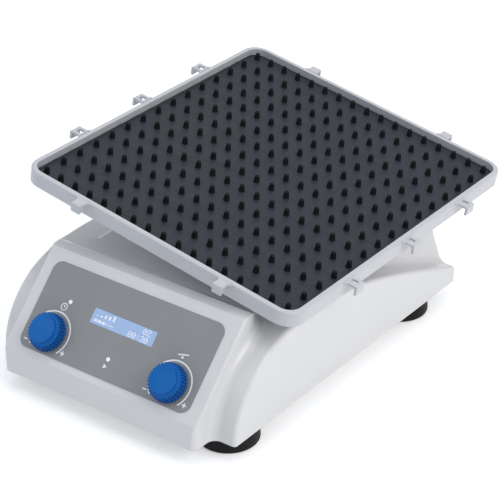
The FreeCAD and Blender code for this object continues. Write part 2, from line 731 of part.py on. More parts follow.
def make_knob(u):
    # A hollow cap: a tapered grip with flutes, a sloped shoulder, a raised disc and a hub inside.
    bottom = LABEL_THICKNESS + KNOB_GAP
    top = bottom + KNOB_HEIGHT
    skirt = KNOB_HEIGHT - KNOB_SHOULDER - KNOB_DISC
    shoulder = Vector(0, 0, bottom + skirt)
    grip = Part.makeCone(KNOB_RADIUS, KNOB_SKIRT_TOP_RADIUS, skirt, Vector(0, 0, bottom))
    crown = Part.makeCone(KNOB_SKIRT_TOP_RADIUS, KNOB_TOP_RADIUS, KNOB_SHOULDER, shoulder)
    disc = rod(KNOB_TOP_RADIUS, KNOB_DISC, Vector(0, 0, top), -Z_AXIS)
    rim = edges_where(disc, lambda e, c: c.z > top - NEAR and e.Closed)
    cap = joined([grip, crown, disc.makeFillet(KNOB_EDGE, rim)])
    hollow = rod(KNOB_SKIRT_TOP_RADIUS - KNOB_WALL, skirt - KNOB_WALL, Vector(0, 0, bottom))
    hub = rod(KNOB_HUB_RADIUS, skirt, Vector(0, 0, bottom))
    cap = joined([cap.cut(hollow), hub])
    cuts = [rod(ENCODER_SHAFT_RADIUS + RUNNING, KNOB_BORE_DEPTH, Vector(0, 0, bottom))]
    for count in range(KNOB_FLUTES):
        turn = 2 * math.pi * count / KNOB_FLUTES
        outward = Vector(math.cos(turn), math.sin(turn), 0)
        start = outward * KNOB_RADIUS + Vector(0, 0, bottom)
        lean = outward * KNOB_SKIRT_TOP_RADIUS + shoulder - start
        overrun = lean * (OVERCUT / lean.Length)
        cuts.append(rod(KNOB_FLUTE_RADIUS, lean.Length + 2 * OVERCUT, start - overrun, lean))
    cap = cap.cut(cuts)
    cap.translate(Vector(u, KNOB_UP, 0))
    return on_panel(cap)


def make_controls():
    floor = -BOARD_BEHIND
    roof = floor + ENCODER_HEIGHT
    for name, u in knob_places().items():
        spot = Vector(u, KNOB_UP, 0)
        half = ENCODER_SIDE / 2
        case = box(-half, half, -half, half, floor, roof)
        bush = rod(BUSH_RADIUS, -floor - ENCODER_HEIGHT + LABEL_THICKNESS, Vector(0, 0, roof))
        well_floor = floor + ENCODER_FLOOR
        well_height = SEAT_CLEARANCE + PUSH_TRAVEL + PLUNGER_HEIGHT + RUNNING
        well = rod(PLUNGER_RADIUS + SEAT_CLEARANCE, well_height, Vector(0, 0, well_floor))
        shaft_foot = well_floor + well_height
        foot = Vector(0, 0, shaft_foot)
        bore = rod(ENCODER_SHAFT_RADIUS + RUNNING, LABEL_THICKNESS - shaft_foot, foot)
        seat = rod(ENCODER_SHAFT_RADIUS + RUNNING, PUSH_TRAVEL + SEAT_CLEARANCE, foot, -Z_AXIS)
        body = joined([case, bush]).cut([well, bore, seat])
        plunger = rod(PLUNGER_RADIUS, PLUNGER_HEIGHT, foot - Z_AXIS * RUNNING, -Z_AXIS)
        knob_bottom = LABEL_THICKNESS + KNOB_GAP
        shaft = rod(ENCODER_SHAFT_RADIUS, knob_bottom + KNOB_BORE_DEPTH - shaft_foot, foot)
        for label, shape in (("encoder", body), ("plunger", plunger), ("shaft", shaft)):
            shape.translate(spot)
            nodes[name + "_" + label] = on_panel(shape)
        nodes[name + "_knob"] = make_knob(u)


def make_bearings():
    screws = []
    for name, end in (("front", -1), ("rear", 1)):
        middle = PIVOT_DEPTH + end * BLOCK_SPREAD
        y0 = middle - BLOCK_THICKNESS / 2
        axis = Vector(0, y0, PIVOT_Z)
        head = rod(BLOCK_HEAD_RADIUS, BLOCK_THICKNESS, axis, Y_AXIS)
        post = box(-BLOCK_HEAD_RADIUS, BLOCK_HEAD_RADIUS, y0, y0 + BLOCK_THICKNESS, deck_z, PIVOT_Z)
        foot = box(-BLOCK_FOOT_HALF_WIDTH, BLOCK_FOOT_HALF_WIDTH, y0, y0 + BLOCK_THICKNESS, deck_z,
                   deck_z + BLOCK_FOOT_THICKNESS)
        block = joined([head, post, foot])
        race_y = middle - BEARING_WIDTH / 2
        base = Vector(0, race_y, PIVOT_Z)
        pocket = axis if end < 0 else base
        cuts = [
            rod(SHAFT_RADIUS + SHAFT_WAY, BLOCK_THICKNESS, axis, Y_AXIS),
            rod(BEARING_RADIUS, (BLOCK_THICKNESS + BEARING_WIDTH) / 2, pocket, Y_AXIS),
        ]
        for side in (-1, 1):
            seat = Vector(side * BLOCK_SCREW_X, middle, deck_z + BLOCK_FOOT_THICKNESS)
            cuts.append(rod(BLOCK_SCREW_RADIUS + SCREW_CLEARANCE, BLOCK_FOOT_THICKNESS, seat, -Z_AXIS))
            length = BLOCK_FOOT_THICKNESS + DECK_BOSS_DEPTH - 2 * SCREW_TIP_ROOM
            screws.append(screw(BLOCK_SCREW_RADIUS, length, BLOCK_SCREW_HEAD_RADIUS,
                                BLOCK_SCREW_HEAD_HEIGHT, seat, -Z_AXIS))
        nodes[name + "_bearing_block"] = block.cut(cuts)
        race = ring(BEARING_RADIUS - RUNNING, SHAFT_RADIUS + RUNNING, BEARING_WIDTH, base, Y_AXIS)
        for face in (race_y, race_y + BEARING_WIDTH - BEARING_SHIELD_INSET):
            groove = ring(BEARING_RADIUS - BEARING_RACE, SHAFT_RADIUS + BEARING_RACE, BEARING_SHIELD_INSET,
                          Vector(0, face, PIVOT_Z), Y_AXIS)
            race = race.cut(groove)
        nodes[name + "_bearing"] = race
    nodes["bearing_block_screws"] = Part.makeCompound(screws)


def make_shaft():
    outer = BLOCK_SPREAD + BLOCK_THICKNESS / 2 + SEAT_CLEARANCE
    half = outer + RING_THICKNESS + SHAFT_END
    shaft = rod(SHAFT_RADIUS, 2 * half, Vector(0, -half, 0), Y_AXIS)
    nodes["rocker_shaft"] = tilted(shaft)
    rings = []
    for start in (outer, -outer - RING_THICKNESS):
        place = Vector(0, start, 0)
        rings.append(tilted(ring(RING_RADIUS, SHAFT_RADIUS + RUNNING, RING_THICKNESS, place, Y_AXIS)))
    nodes["shaft_rings"] = Part.makeCompound(rings)


def hook(reach, width, slotted):
    # Drawn on the right side: a plate out from the rim with a lip that turns down.
    top = rim_top
    half = width / 2
    flare = half + HOOK_ROOT_FLARE
    plan = [
        Vector(0, -flare, top - HOOK_THICKNESS),
        Vector(HOOK_ROOT_FLARE, -half, top - HOOK_THICKNESS),
        Vector(reach, -half, top - HOOK_THICKNESS),
        Vector(reach, half, top - HOOK_THICKNESS),
        Vector(HOOK_ROOT_FLARE, half, top - HOOK_THICKNESS),
        Vector(0, flare, top - HOOK_THICKNESS),
    ]
    plate = prism(plan, Vector(0, 0, HOOK_THICKNESS))
    lip = box(reach - HOOK_THICKNESS, reach, -half, half, top - HOOK_DROP, top)
    tab = joined([plate, lip])
    outer_edge = edges_where(tab, lambda e, c: abs(c.x - reach) < NEAR and abs(c.z - top) < NEAR)
    tab = tab.makeFillet(HOOK_EDGE, outer_edge)
    if slotted:
        slot = rounded_plate(
            SIDE_SLOT_REACH / 2, SIDE_SLOT_WIDTH / 2, SIDE_SLOT_CORNER,
            top - HOOK_THICKNESS - OVERCUT, top + OVERCUT,
        )
        slot.translate(Vector(SIDE_SLOT_INSET + SIDE_SLOT_REACH / 2, 0, 0))
        tab = tab.cut(slot)
    return tab


def hooks():
    tabs = []
    for turn in (0, 180):
        for step in (-1, 0, 1):
            tab = hook(SIDE_HOOK_REACH, SIDE_HOOK_WIDTH, True)
            tab.translate(Vector(TRAY_HALF_WIDTH, step * SIDE_HOOK_SPACING, 0))
            tab.rotate(ORIGIN, Z_AXIS, turn)
            tabs.append(tab)
    for turn in (90, 270):
        for side in (-1, 1):
            tab = hook(END_HOOK_REACH, END_HOOK_WIDTH, False)
            tab.translate(Vector(TRAY_HALF_LENGTH, side * END_HOOK_X, 0))
            tab.rotate(ORIGIN, Z_AXIS, turn)
            tabs.append(tab)
    return tabs


def make_tray():
    half_w = TRAY_HALF_WIDTH
    half_l = TRAY_HALF_LENGTH
    inner_w = half_w - TRAY_RIM_WIDTH
    inner_l = half_l - TRAY_RIM_WIDTH
    inner_corner = TRAY_CORNER - TRAY_RIM_WIDTH
    pan = rounded_plate(half_w, half_l, TRAY_CORNER, rim_bottom, rim_top)
    lip = edges_where(pan, lambda e, c: e.BoundBox.ZMin > rim_top - NEAR)
    pan = pan.makeFillet(TRAY_EDGE, lip)
    well = rounded_plate(inner_w, inner_l, inner_corner, mat_bottom, rim_top + OVERCUT)
    under = rounded_plate(inner_w, inner_l, inner_corner, rim_bottom - OVERCUT, tray_underside)
    ribs = []
    for side in (-1, 1):
        start = side * RIB_X - RIB_THICKNESS / 2
        ribs.append(box(start, start + RIB_THICKNESS, -inner_l, inner_l, rim_bottom, tray_underside))
    under = under.cut(ribs)
    tray = joined([pan.cut([well, under])] + hooks())
    cuts = []
    screws = []
    for x, y in tray_screw_places():
        seat = Vector(x - TRAY_SHIFT, y, mat_bottom)
        cuts.append(countersunk(seat, SCREW_CLEARANCE, TRAY_FLOOR))
        fastener = countersunk(seat, 0.0, TRAY_SCREW_LENGTH)
        fastener.translate(Vector(TRAY_SHIFT, 0, 0))
        screws.append(tilted(fastener))
    tray = tray.cut(cuts)
    tray.translate(Vector(TRAY_SHIFT, 0, 0))
    nodes["tray"] = tilted(tray)
    nodes["tray_screws"] = Part.makeCompound(screws)


def tray_screw_places():
    return [(i * TRAY_SCREW_X, j * TRAY_SCREW_Y) for i in (-1, 1) for j in (-1, 1)]


def countersunk(seat, gap, length):
    # A flat head that ends flush with the seat's face; gap makes the hole that takes it.
    drop = TRAY_SCREW_HEAD_RADIUS - TRAY_SCREW_RADIUS
    head = Part.makeCone(TRAY_SCREW_HEAD_RADIUS + gap, TRAY_SCREW_RADIUS + gap, drop, seat, -Z_AXIS)
    return joined([head, rod(TRAY_SCREW_RADIUS + gap, length, seat, -Z_AXIS)])


def make_mat():
    corner = TRAY_CORNER - TRAY_RIM_WIDTH - MAT_CLEARANCE
    sheet = rounded_plate(mat_half_width, mat_half_length, corner, mat_bottom, MAT_ABOVE_PIVOT)
    peg = Part.makeCone(PEG_BASE_RADIUS, PEG_TOP_RADIUS, PEG_HEIGHT)
    tip = edges_where(peg, lambda e, c: c.z > PEG_HEIGHT - NEAR and e.Closed)
    peg = peg.makeFillet(PEG_ROUND, tip)
    steps_across = int((mat_half_width - PEG_MARGIN) / PEG_PITCH_ACROSS)
    steps_along = int((mat_half_length - PEG_MARGIN) / PEG_PITCH_ALONG)
    pegs = []
    for i in range(-steps_across, steps_across + 1):
        for j in range(-steps_along, steps_along + 1):
            one = peg.copy()
            one.translate(Vector(i * PEG_PITCH_ACROSS, j * PEG_PITCH_ALONG, MAT_ABOVE_PIVOT))
            pegs.append(one)
    mat = sheet.multiFuse(pegs)
    mat.translate(Vector(TRAY_SHIFT, 0, 0))
    nodes["peg_mat"] = tilted(mat)


def make_saddle():
    top = tray_underside
    bottom = top - SADDLE_PLATE
    pieces = [rounded_plate(SADDLE_HALF_WIDTH, SADDLE_HALF_LENGTH, SADDLE_CORNER, bottom, top)]
    for end in (-1, 1):
        y0 = end * (SADDLE_HALF_LENGTH - SADDLE_HUB_LENGTH / 2) - SADDLE_HUB_LENGTH / 2
        pieces.append(rod(SADDLE_HUB_RADIUS, SADDLE_HUB_LENGTH, Vector(0, y0, 0), Y_AXIS))
        pieces.append(box(-SADDLE_HUB_RADIUS, SADDLE_HUB_RADIUS, y0, y0 + SADDLE_HUB_LENGTH, 0, bottom))
    saddle = joined(pieces)
    cuts = [rod(SHAFT_RADIUS + RUNNING, 2 * SADDLE_HALF_LENGTH, Vector(0, -SADDLE_HALF_LENGTH, 0), Y_AXIS)]
    for x, y in tray_screw_places():
        cuts.append(rod(TRAY_SCREW_RADIUS + SCREW_CLEARANCE, SADDLE_PLATE, Vector(x, y, bottom)))
    for x, y in fork_screw_places():
        cuts.append(rod(FORK_SCREW_RADIUS + SCREW_CLEARANCE, SADDLE_PLATE, Vector(x, y, bottom)))
    nodes["saddle"] = tilted(saddle.cut(cuts))


def fork_screw_places():
    return [(i * FORK_SCREW_X, j * FORK_SCREW_Y) for i in (-1, 1) for j in (-1, 1)]


def make_fork():
    top = tray_underside - SADDLE_PLATE
    y0 = -FORK_THICKNESS / 2
    flange = box(-FORK_HALF_WIDTH, FORK_HALF_WIDTH, -FORK_FLANGE_HALF_LENGTH, FORK_FLANGE_HALF_LENGTH,
                 top - FORK_FLANGE_THICKNESS, top)
    blade = box(-FORK_HALF_WIDTH, FORK_HALF_WIDTH, y0, -y0, -FORK_REACH, top)
    fork = joined([flange, blade])
    half_slot = ROLLER_RADIUS + ROLLER_PLAY
    low = CRANK_DROP + crank_radius + ROLLER_RADIUS + ROLLER_PLAY
    high = CRANK_DROP - ROLLER_RADIUS - 2 * ROLLER_PLAY
    slot = box(-half_slot, half_slot, y0 - OVERCUT, OVERCUT - y0, -low, -high)
    tips = edges_where(slot, lambda e, c: e.BoundBox.YLength > FORK_THICKNESS / 2)
    slot = slot.makeFillet(FORK_SLOT_CORNER, tips)
    flange_end = Vector(0, -FORK_FLANGE_HALF_LENGTH, 0)
    cuts = [slot, rod(SHAFT_RADIUS + RUNNING, 2 * FORK_FLANGE_HALF_LENGTH, flange_end, Y_AXIS)]
    screws = []
    for x, y in fork_screw_places():
        seat = Vector(x, y, top - FORK_FLANGE_THICKNESS)
        cuts.append(rod(FORK_SCREW_RADIUS + SCREW_CLEARANCE, FORK_FLANGE_THICKNESS, seat))
        length = FORK_FLANGE_THICKNESS + SADDLE_PLATE
        screws.append(tilted(screw(FORK_SCREW_RADIUS, length, FORK_SCREW_HEAD_RADIUS,
                                   FORK_SCREW_HEAD_HEIGHT, seat, Z_AXIS)))
    nodes["drive_fork"] = tilted(fork.cut(cuts))
    nodes["fork_screws"] = Part.makeCompound(screws)


def make_drive():
    # The crank stands with its roller to the left, where the fork holds the tray's right side low.
    fork_front = PIVOT_DEPTH - FORK_THICKNESS / 2
    disc_back = fork_front - CRANK_GAP
    disc_front = disc_back - CRANK_DISC_THICKNESS
    plate_back = disc_front - BRACKET_GAP
    plate_front = plate_back - BRACKET_THICKNESS
    axis = Vector(0, disc_front, crank_z)
    pin_x = -crank_radius
    pin_foot = Vector(pin_x, disc_front, crank_z)
    disc = rod(CRANK_DISC_RADIUS, CRANK_DISC_THICKNESS, axis, Y_AXIS)
    shaft_hole = rod(MOTOR_SHAFT_RADIUS + RUNNING, CRANK_DISC_THICKNESS, axis, Y_AXIS)
    pin_hole = rod(CRANK_PIN_RADIUS + RUNNING, CRANK_DISC_THICKNESS, pin_foot, Y_AXIS)
    nodes["crank_disc"] = disc.cut([shaft_hole, pin_hole])
    pin_end = PIVOT_DEPTH + ROLLER_LENGTH / 2
    nodes["crank_pin"] = rod(CRANK_PIN_RADIUS, pin_end - disc_front, pin_foot, Y_AXIS)
    roller_foot = Vector(pin_x, PIVOT_DEPTH - ROLLER_LENGTH / 2, crank_z)
    bushing = CRANK_PIN_RADIUS + RUNNING
    nodes["crank_roller"] = ring(ROLLER_RADIUS, bushing, ROLLER_LENGTH, roller_foot, Y_AXIS)
    shaft_foot = Vector(0, plate_front - MOTOR_SHAFT_INSET, crank_z)
    nodes["motor_shaft"] = rod(MOTOR_SHAFT_RADIUS, disc_back - shaft_foot.y, shaft_foot, Y_AXIS)
    make_motor(plate_front, plate_back)


def make_motor(plate_front, plate_back):
    top = crank_z + BRACKET_ABOVE_AXIS
    half = BRACKET_HALF_WIDTH
    foot_top = plate_top + BRACKET_THICKNESS
    wall = box(-half, half, plate_front, plate_back, plate_top, top)
    foot_front = plate_back - BRACKET_FOOT_LENGTH
    pieces = [wall, box(-half, half, foot_front, plate_back, plate_top, foot_top)]
    for side in (-1, 1):
        x = side * (half - GUSSET_THICKNESS / 2) - GUSSET_THICKNESS / 2
        corner = Vector(x, plate_front, foot_top)
        web = [corner, corner + Z_AXIS * GUSSET_HEIGHT, Vector(x, foot_front, foot_top)]
        pieces.append(prism(web, Vector(GUSSET_THICKNESS, 0, 0)))
    bracket = joined(pieces)
    centre = Vector(0, plate_front, crank_z)
    cuts = [rod(GEARBOX_COLLAR_RADIUS + SCREW_CLEARANCE, BRACKET_THICKNESS, centre, Y_AXIS)]
    motor_screws = []
    gear_holes = []
    hole = MOTOR_SCREW_RADIUS + SCREW_CLEARANCE
    length = BRACKET_THICKNESS + MOTOR_SCREW_DEPTH - SCREW_TIP_ROOM
    for count in range(MOTOR_SCREWS):
        turn = math.pi / 4 + 2 * math.pi * count / MOTOR_SCREWS
        x = MOTOR_SCREW_CIRCLE * math.cos(turn)
        z = crank_z + MOTOR_SCREW_CIRCLE * math.sin(turn)
        place = Vector(x, plate_front, z)
        cuts.append(rod(hole, BRACKET_THICKNESS, place, Y_AXIS))
        gear_holes.append(rod(hole, MOTOR_SCREW_DEPTH, place, -Y_AXIS))
        seat = Vector(x, plate_back, z)
        motor_screws.append(screw(MOTOR_SCREW_RADIUS, length, MOTOR_SCREW_HEAD_RADIUS,
                                  MOTOR_SCREW_HEAD_HEIGHT, seat, -Y_AXIS))
    bracket_screws = []
    for x, y in bracket_screw_places():
        seat = Vector(x, y, foot_top)
        cuts.append(rod(BRACKET_SCREW_RADIUS + SCREW_CLEARANCE, BRACKET_THICKNESS, seat, -Z_AXIS))
        bracket_screws.append(screw(BRACKET_SCREW_RADIUS, BRACKET_THICKNESS + BASE_THICKNESS,
                                    BRACKET_SCREW_HEAD_RADIUS, BRACKET_SCREW_HEAD_HEIGHT, seat, -Z_AXIS))
    nodes["motor_bracket"] = bracket.cut(cuts)
    nodes["bracket_screws"] = Part.makeCompound(bracket_screws)
    nodes["motor_screws"] = Part.makeCompound(motor_screws)

    gearbox = rod(GEARBOX_RADIUS, GEARBOX_LENGTH, Vector(0, plate_front - GEARBOX_LENGTH, crank_z), Y_AXIS)
    collar = rod(GEARBOX_COLLAR_RADIUS, BRACKET_THICKNESS, centre, Y_AXIS)
    bore = rod(MOTOR_SHAFT_RADIUS + RUNNING, MOTOR_SHAFT_INSET + BRACKET_THICKNESS + SEAT_CLEARANCE,
               centre + Y_AXIS * BRACKET_THICKNESS, -Y_AXIS)
    nodes["gearbox"] = joined([gearbox, collar]).cut([bore] + gear_holes)
    can_back = plate_front - GEARBOX_LENGTH
    can = rod(MOTOR_RADIUS, MOTOR_LENGTH, Vector(0, can_back - MOTOR_LENGTH, crank_z), Y_AXIS)
    edge = edges_where(can, lambda e, c: c.y < can_back - NEAR and e.Closed)
    nodes["motor"] = can.makeFillet(MOTOR_EDGE, edge)


def bracket_screw_places():
    plate_back = PIVOT_DEPTH - FORK_THICKNESS / 2 - CRANK_GAP - CRANK_DISC_THICKNESS - BRACKET_GAP
    near = plate_back - BRACKET_THICKNESS - BRACKET_SCREW_INSET
    far = plate_back - BRACKET_FOOT_LENGTH + BRACKET_SCREW_INSET
    return [(side * BRACKET_SCREW_X, y) for side in (-1, 1) for y in (near, far)]


def driver_screw_places():
    places = []
    for side in (-1, 1):
        for y in (DRIVER_DEPTH + DRIVER_SCREW_INSET, DRIVER_DEPTH + DRIVER_LENGTH - DRIVER_SCREW_INSET):
            places.append((side * (DRIVER_HALF_WIDTH - DRIVER_SCREW_INSET), y))
    return places


def make_driver():
    z0 = plate_top + DRIVER_RAISE
    z1 = z0 + BOARD_THICKNESS
    board = box(-DRIVER_HALF_WIDTH, DRIVER_HALF_WIDTH, DRIVER_DEPTH, DRIVER_DEPTH + DRIVER_LENGTH, z0, z1)
    holes = []
    screws = []
    spacers = []
    for x, y in driver_screw_places():
        holes.append(rod(BRACKET_SCREW_RADIUS + SCREW_CLEARANCE, BOARD_THICKNESS, Vector(x, y, z0)))
        seat = Vector(x, y, z1)
        length = BOARD_THICKNESS + DRIVER_RAISE + BASE_THICKNESS
        screws.append(screw(BRACKET_SCREW_RADIUS, length, BRACKET_SCREW_HEAD_RADIUS,
                            BRACKET_SCREW_HEAD_HEIGHT, seat, -Z_AXIS))
        spacers.append(ring(BRACKET_SCREW_HEAD_RADIUS, BRACKET_SCREW_RADIUS + SCREW_CLEARANCE, DRIVER_RAISE,
                            Vector(x, y, plate_top)))
    nodes["driver_board"] = board.cut(holes)
    nodes["driver_board_screws"] = Part.makeCompound(screws)
    nodes["driver_board_spacers"] = Part.makeCompound(spacers)
    capacitors = []
    for count, height in enumerate(COMPONENT_HEIGHTS):
        x = -DRIVER_HALF_WIDTH / 2 + count * COMPONENT_PITCH
        capacitors.append(rod(COMPONENT_RADIUS, height, Vector(x, DRIVER_DEPTH + DRIVER_LENGTH / 2, z1)))
    nodes["capacitors"] = Part.makeCompound(capacitors)
    span = HEATSINK_FINS * HEATSINK_PITCH
    x0 = DRIVER_HALF_WIDTH - DRIVER_SCREW_INSET * 2 - span
    y0 = DRIVER_DEPTH + (DRIVER_LENGTH - HEATSINK_LENGTH) / 2
    y1 = y0 + HEATSINK_LENGTH
    fins = [box(x0, x0 + span - HEATSINK_PITCH + HEATSINK_FIN, y0, y1, z1, z1 + HEATSINK_FIN)]
    for count in range(HEATSINK_FINS):
        x = x0 + count * HEATSINK_PITCH
        fins.append(box(x, x + HEATSINK_FIN, y0, y1, z1, z1 + HEATSINK_HEIGHT))
    nodes["heatsink"] = joined(fins)


def make_back_fittings():
    level = base_z + BACK_FITTING_HEIGHT
    face = Vector(INLET_X, BODY_BACK, level)
    flange = rod(INLET_FLANGE_RADIUS, INLET_FLANGE, face, Y_AXIS)
    barrel = rod(INLET_BODY_RADIUS, INLET_BODY_LENGTH, face, -Y_AXIS)
    bore = rod(INLET_BORE_RADIUS, INLET_BORE_DEPTH + INLET_FLANGE, face + Y_AXIS * INLET_FLANGE, -Y_AXIS)
    pin = rod(INLET_PIN_RADIUS, INLET_BORE_DEPTH, face - Y_AXIS * INLET_BORE_DEPTH, Y_AXIS)
    nodes["power_inlet"] = joined([joined([flange, barrel]).cut(bore), pin])
    nut_face = face - Y_AXIS * WALL
    thread = INLET_BODY_RADIUS + SCREW_CLEARANCE
    nodes["inlet_nut"] = ring(INLET_NUT_RADIUS, thread, INLET_NUT_THICKNESS, nut_face, -Y_AXIS)

    half_w = SWITCH_FRAME_WIDTH / 2
    half_h = SWITCH_FRAME_HEIGHT / 2
    body_w = SWITCH_BODY_WIDTH / 2
    body_h = SWITCH_BODY_HEIGHT / 2
    bezel = box(-half_w, half_w, 0, SWITCH_FRAME_FLANGE, -half_h, half_h)
    case = box(-body_w, body_w, -SWITCH_BODY_LENGTH, 0, -body_h, body_h)
    room_w = body_w - SWITCH_WALL
    room_h = body_h - SWITCH_WALL
    room_floor = -ROCKER_DEPTH - MOVING_CLEARANCE
    room = box(-room_w, room_w, room_floor, SWITCH_FRAME_FLANGE, -room_h, room_h)
    pivot_holes = rod(ROCKER_PIN_RADIUS + RUNNING, 2 * body_w, Vector(-body_w, 0, 0), X_AXIS)
    frame = joined([bezel, case]).cut([room, pivot_holes])
    rocker = make_rocker(room_w - SEAT_CLEARANCE, room_h - 2 * SEAT_CLEARANCE, body_w)
    for name, shape in (("switch_frame", frame), ("switch_rocker", rocker)):
        shape.translate(Vector(SWITCH_X, BODY_BACK, level))
        nodes[name] = shape


def make_rocker(half_w, half_h, pin_half):
    # A cap with a shallow valley across its middle, on a pin, tipped to its off position.
    tip = ROCKER_SWING / 2
    turn = math.radians(tip)
    reach = half_h * math.cos(turn) - ROCKER_PROUD * math.sin(turn) - SEAT_CLEARANCE
    foot = reach * ROCKER_FOOT_SHARE
    dip = reach * math.tan(turn)
    points = [
        Vector(-half_w, -ROCKER_DEPTH, -foot),
        Vector(-half_w, -ROCKER_DEPTH, foot),
        Vector(-half_w, SWITCH_FRAME_FLANGE - ROCKER_SKIRT, reach),
        Vector(-half_w, SWITCH_FRAME_FLANGE + dip, reach),
        Vector(-half_w, SWITCH_FRAME_FLANGE, 0),
        Vector(-half_w, SWITCH_FRAME_FLANGE + dip, -reach),
        Vector(-half_w, SWITCH_FRAME_FLANGE - ROCKER_SKIRT, -reach),
    ]
    cap = prism(points, Vector(2 * half_w, 0, 0))
    pin = rod(ROCKER_PIN_RADIUS, 2 * pin_half, Vector(-pin_half, 0, 0), X_AXIS)
    rocker = joined([cap, pin])
    rocker.rotate(ORIGIN, X_AXIS, tip)
    return rocker


make_housing()
make_base()
make_feet()
make_panel()
make_control_board()
make_controls()
make_bearings()
make_shaft()
make_tray()
make_mat()
make_saddle()
make_fork()
make_drive()
make_driver()
make_back_fittings()

os.makedirs("parts", exist_ok=True)
for name, shape in nodes.items():
    placed = shape.copy()
    placed.translate(Vector(0, -ORIGIN_DEPTH, 0))
    placed.exportStep("parts/" + name + ".step")
    print(name, len(placed.Solids), placed.isValid(), round(placed.Volume, 1))
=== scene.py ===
# %% [markdown]
# Dressing a platform rocker
#
# A platform rocker tilts a flat tray to and fro on top of a housing with two knobs and a display.
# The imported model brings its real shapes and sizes. This lesson adds what the model leaves out:
# finishes, the rubber pegs, the ribs of the knobs, the printed marks, and the studio.
# Everything is in the frame of the model, which is never moved.

# %% Load the model
import json
import math

import bmesh
import bpy
from mathutils import Matrix, Vector


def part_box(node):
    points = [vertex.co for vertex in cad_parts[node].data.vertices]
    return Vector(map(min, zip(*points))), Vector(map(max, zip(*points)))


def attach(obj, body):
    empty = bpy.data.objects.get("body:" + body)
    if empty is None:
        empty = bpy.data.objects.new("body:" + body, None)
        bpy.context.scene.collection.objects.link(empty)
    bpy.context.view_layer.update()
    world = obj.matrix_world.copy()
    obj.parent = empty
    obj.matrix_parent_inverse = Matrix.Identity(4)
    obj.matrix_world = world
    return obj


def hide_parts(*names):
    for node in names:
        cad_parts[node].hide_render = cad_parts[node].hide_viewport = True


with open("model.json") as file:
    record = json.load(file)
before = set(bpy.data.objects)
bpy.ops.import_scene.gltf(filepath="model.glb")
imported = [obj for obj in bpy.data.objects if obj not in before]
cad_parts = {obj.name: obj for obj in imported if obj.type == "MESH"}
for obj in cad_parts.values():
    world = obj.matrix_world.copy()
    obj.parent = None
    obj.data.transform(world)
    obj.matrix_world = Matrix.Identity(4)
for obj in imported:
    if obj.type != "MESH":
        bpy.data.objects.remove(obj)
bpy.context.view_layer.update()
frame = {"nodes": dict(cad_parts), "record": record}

scene = bpy.context.scene

# %% [markdown]
# Two working planes
#
# The console's face slopes and the tray rests at a tilt, so print and pegs are awkward to place
# in the model's own axes. Objects could be turned afterwards, but a finished piece has to lie
# unturned at the origin. So each face gets a matrix that carries points into the model. Points
# on the console are (across, up, out) from the middle of the grey overlay's outer face, and
# points on the tray are (across, along, up) from the rocker shaft. The first matrix comes from a
# knob's axis and the overlay's box, the second from the tray's hinge. The tray rests at one end
# of a swing that is the same to both sides, so its tilt at rest is half of the swing.

# %% Console plane
MM = 0.001
OVERLAY_HALF_THICKNESS = 0.25 * MM
joints = {joint["name"]: joint for joint in frame["record"]["behaviour"]["joints"]}


def face_plane(middle, across, up, out):
    turn = Matrix((across, up, out)).transposed().to_4x4()
    return Matrix.Translation(middle) @ turn


def panel_plane():
    out = Vector(joints["timer_turn"]["axis"]).normalized()
    across = Vector((1, 0, 0))
    low, high = (Vector(corner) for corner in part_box("panel_overlay"))
    middle = (low + high) / 2 + out * OVERLAY_HALF_THICKNESS
    return face_plane(middle, across, out.cross(across), out)


PANEL = panel_plane()
print("overlay middle:", [round(v, 4) for v in PANEL.translation])

# %% Tray plane
def swing(joint):
    low, high = joints[joint]["range_deg"]
    return math.radians(high - low)


REST_TILT = swing("platform_rock") / 2
SHAFT = Vector(joints["platform_rock"]["pos_m"])
TRAY = Matrix.Translation(SHAFT) @ Matrix.Rotation(REST_TILT, 4, "Y")
print("rocker shaft:", [round(v, 4) for v in SHAFT])

# %% [markdown]
# The camera
#
# A camera can be moved by eye until the picture looks right. This one was fitted to the rows of
# pegs instead, so that the render can be laid over the photograph. It stands to the right of the
# console and looks down at about 29 degrees, with a long lens that keeps the edges nearly
# parallel.

# %% Camera
LENS_MM = 138.6
SENSOR_MM = 36
CAMERA_PLACE = (0.82855, -1.10318, 0.83825)
SIGHT_LINE = Vector((-0.523, 0.699, -0.488))

camera_data = bpy.data.cameras.new("studio_camera")
camera_data.lens = LENS_MM
camera_data.sensor_width = SENSOR_MM
camera = bpy.data.objects.new("studio_camera", camera_data)
camera.location = CAMERA_PLACE
camera.rotation_euler = SIGHT_LINE.to_track_quat("-Z", "Y").to_euler()
scene.collection.objects.link(camera)
scene.camera = camera
print("camera at", CAMERA_PLACE)

# %% [markdown]
# Shared surface effects
#
# A real surface is never one flat colour. Moulded or rolled stock has a fine grain and a broad
# mottle, handling leaves faint wipe marks, and dust settles on faces that look up. Painted maps
# could show this, but every piece would need its own. Noise on Object coordinates needs no map
# and stays in place when a piece moves. Each effect is a shader group that is built once, placed
# in every finish, and puts out values only.

# %% Stock grain
GRAIN_SCALE = 1200.0
MOTTLE_SCALE = 22.0


def group_tree(name, inputs, outputs):
    tree = bpy.data.node_groups.new(name, "ShaderNodeTree")
    for label, kind, default in inputs:
        socket = tree.interface.new_socket(label, in_out="INPUT", socket_type=kind)
        if default is not None:
            socket.default_value = default
    for label in outputs:
        tree.interface.new_socket(label, in_out="OUTPUT", socket_type="NodeSocketFloat")
    return tree, tree.nodes.new("NodeGroupInput"), tree.nodes.new("NodeGroupOutput")


def noise_node(tree, detail, roughness):
    node = tree.nodes.new("ShaderNodeTexNoise")
    node.inputs["Detail"].default_value = detail
    node.inputs["Roughness"].default_value = roughness
    return node


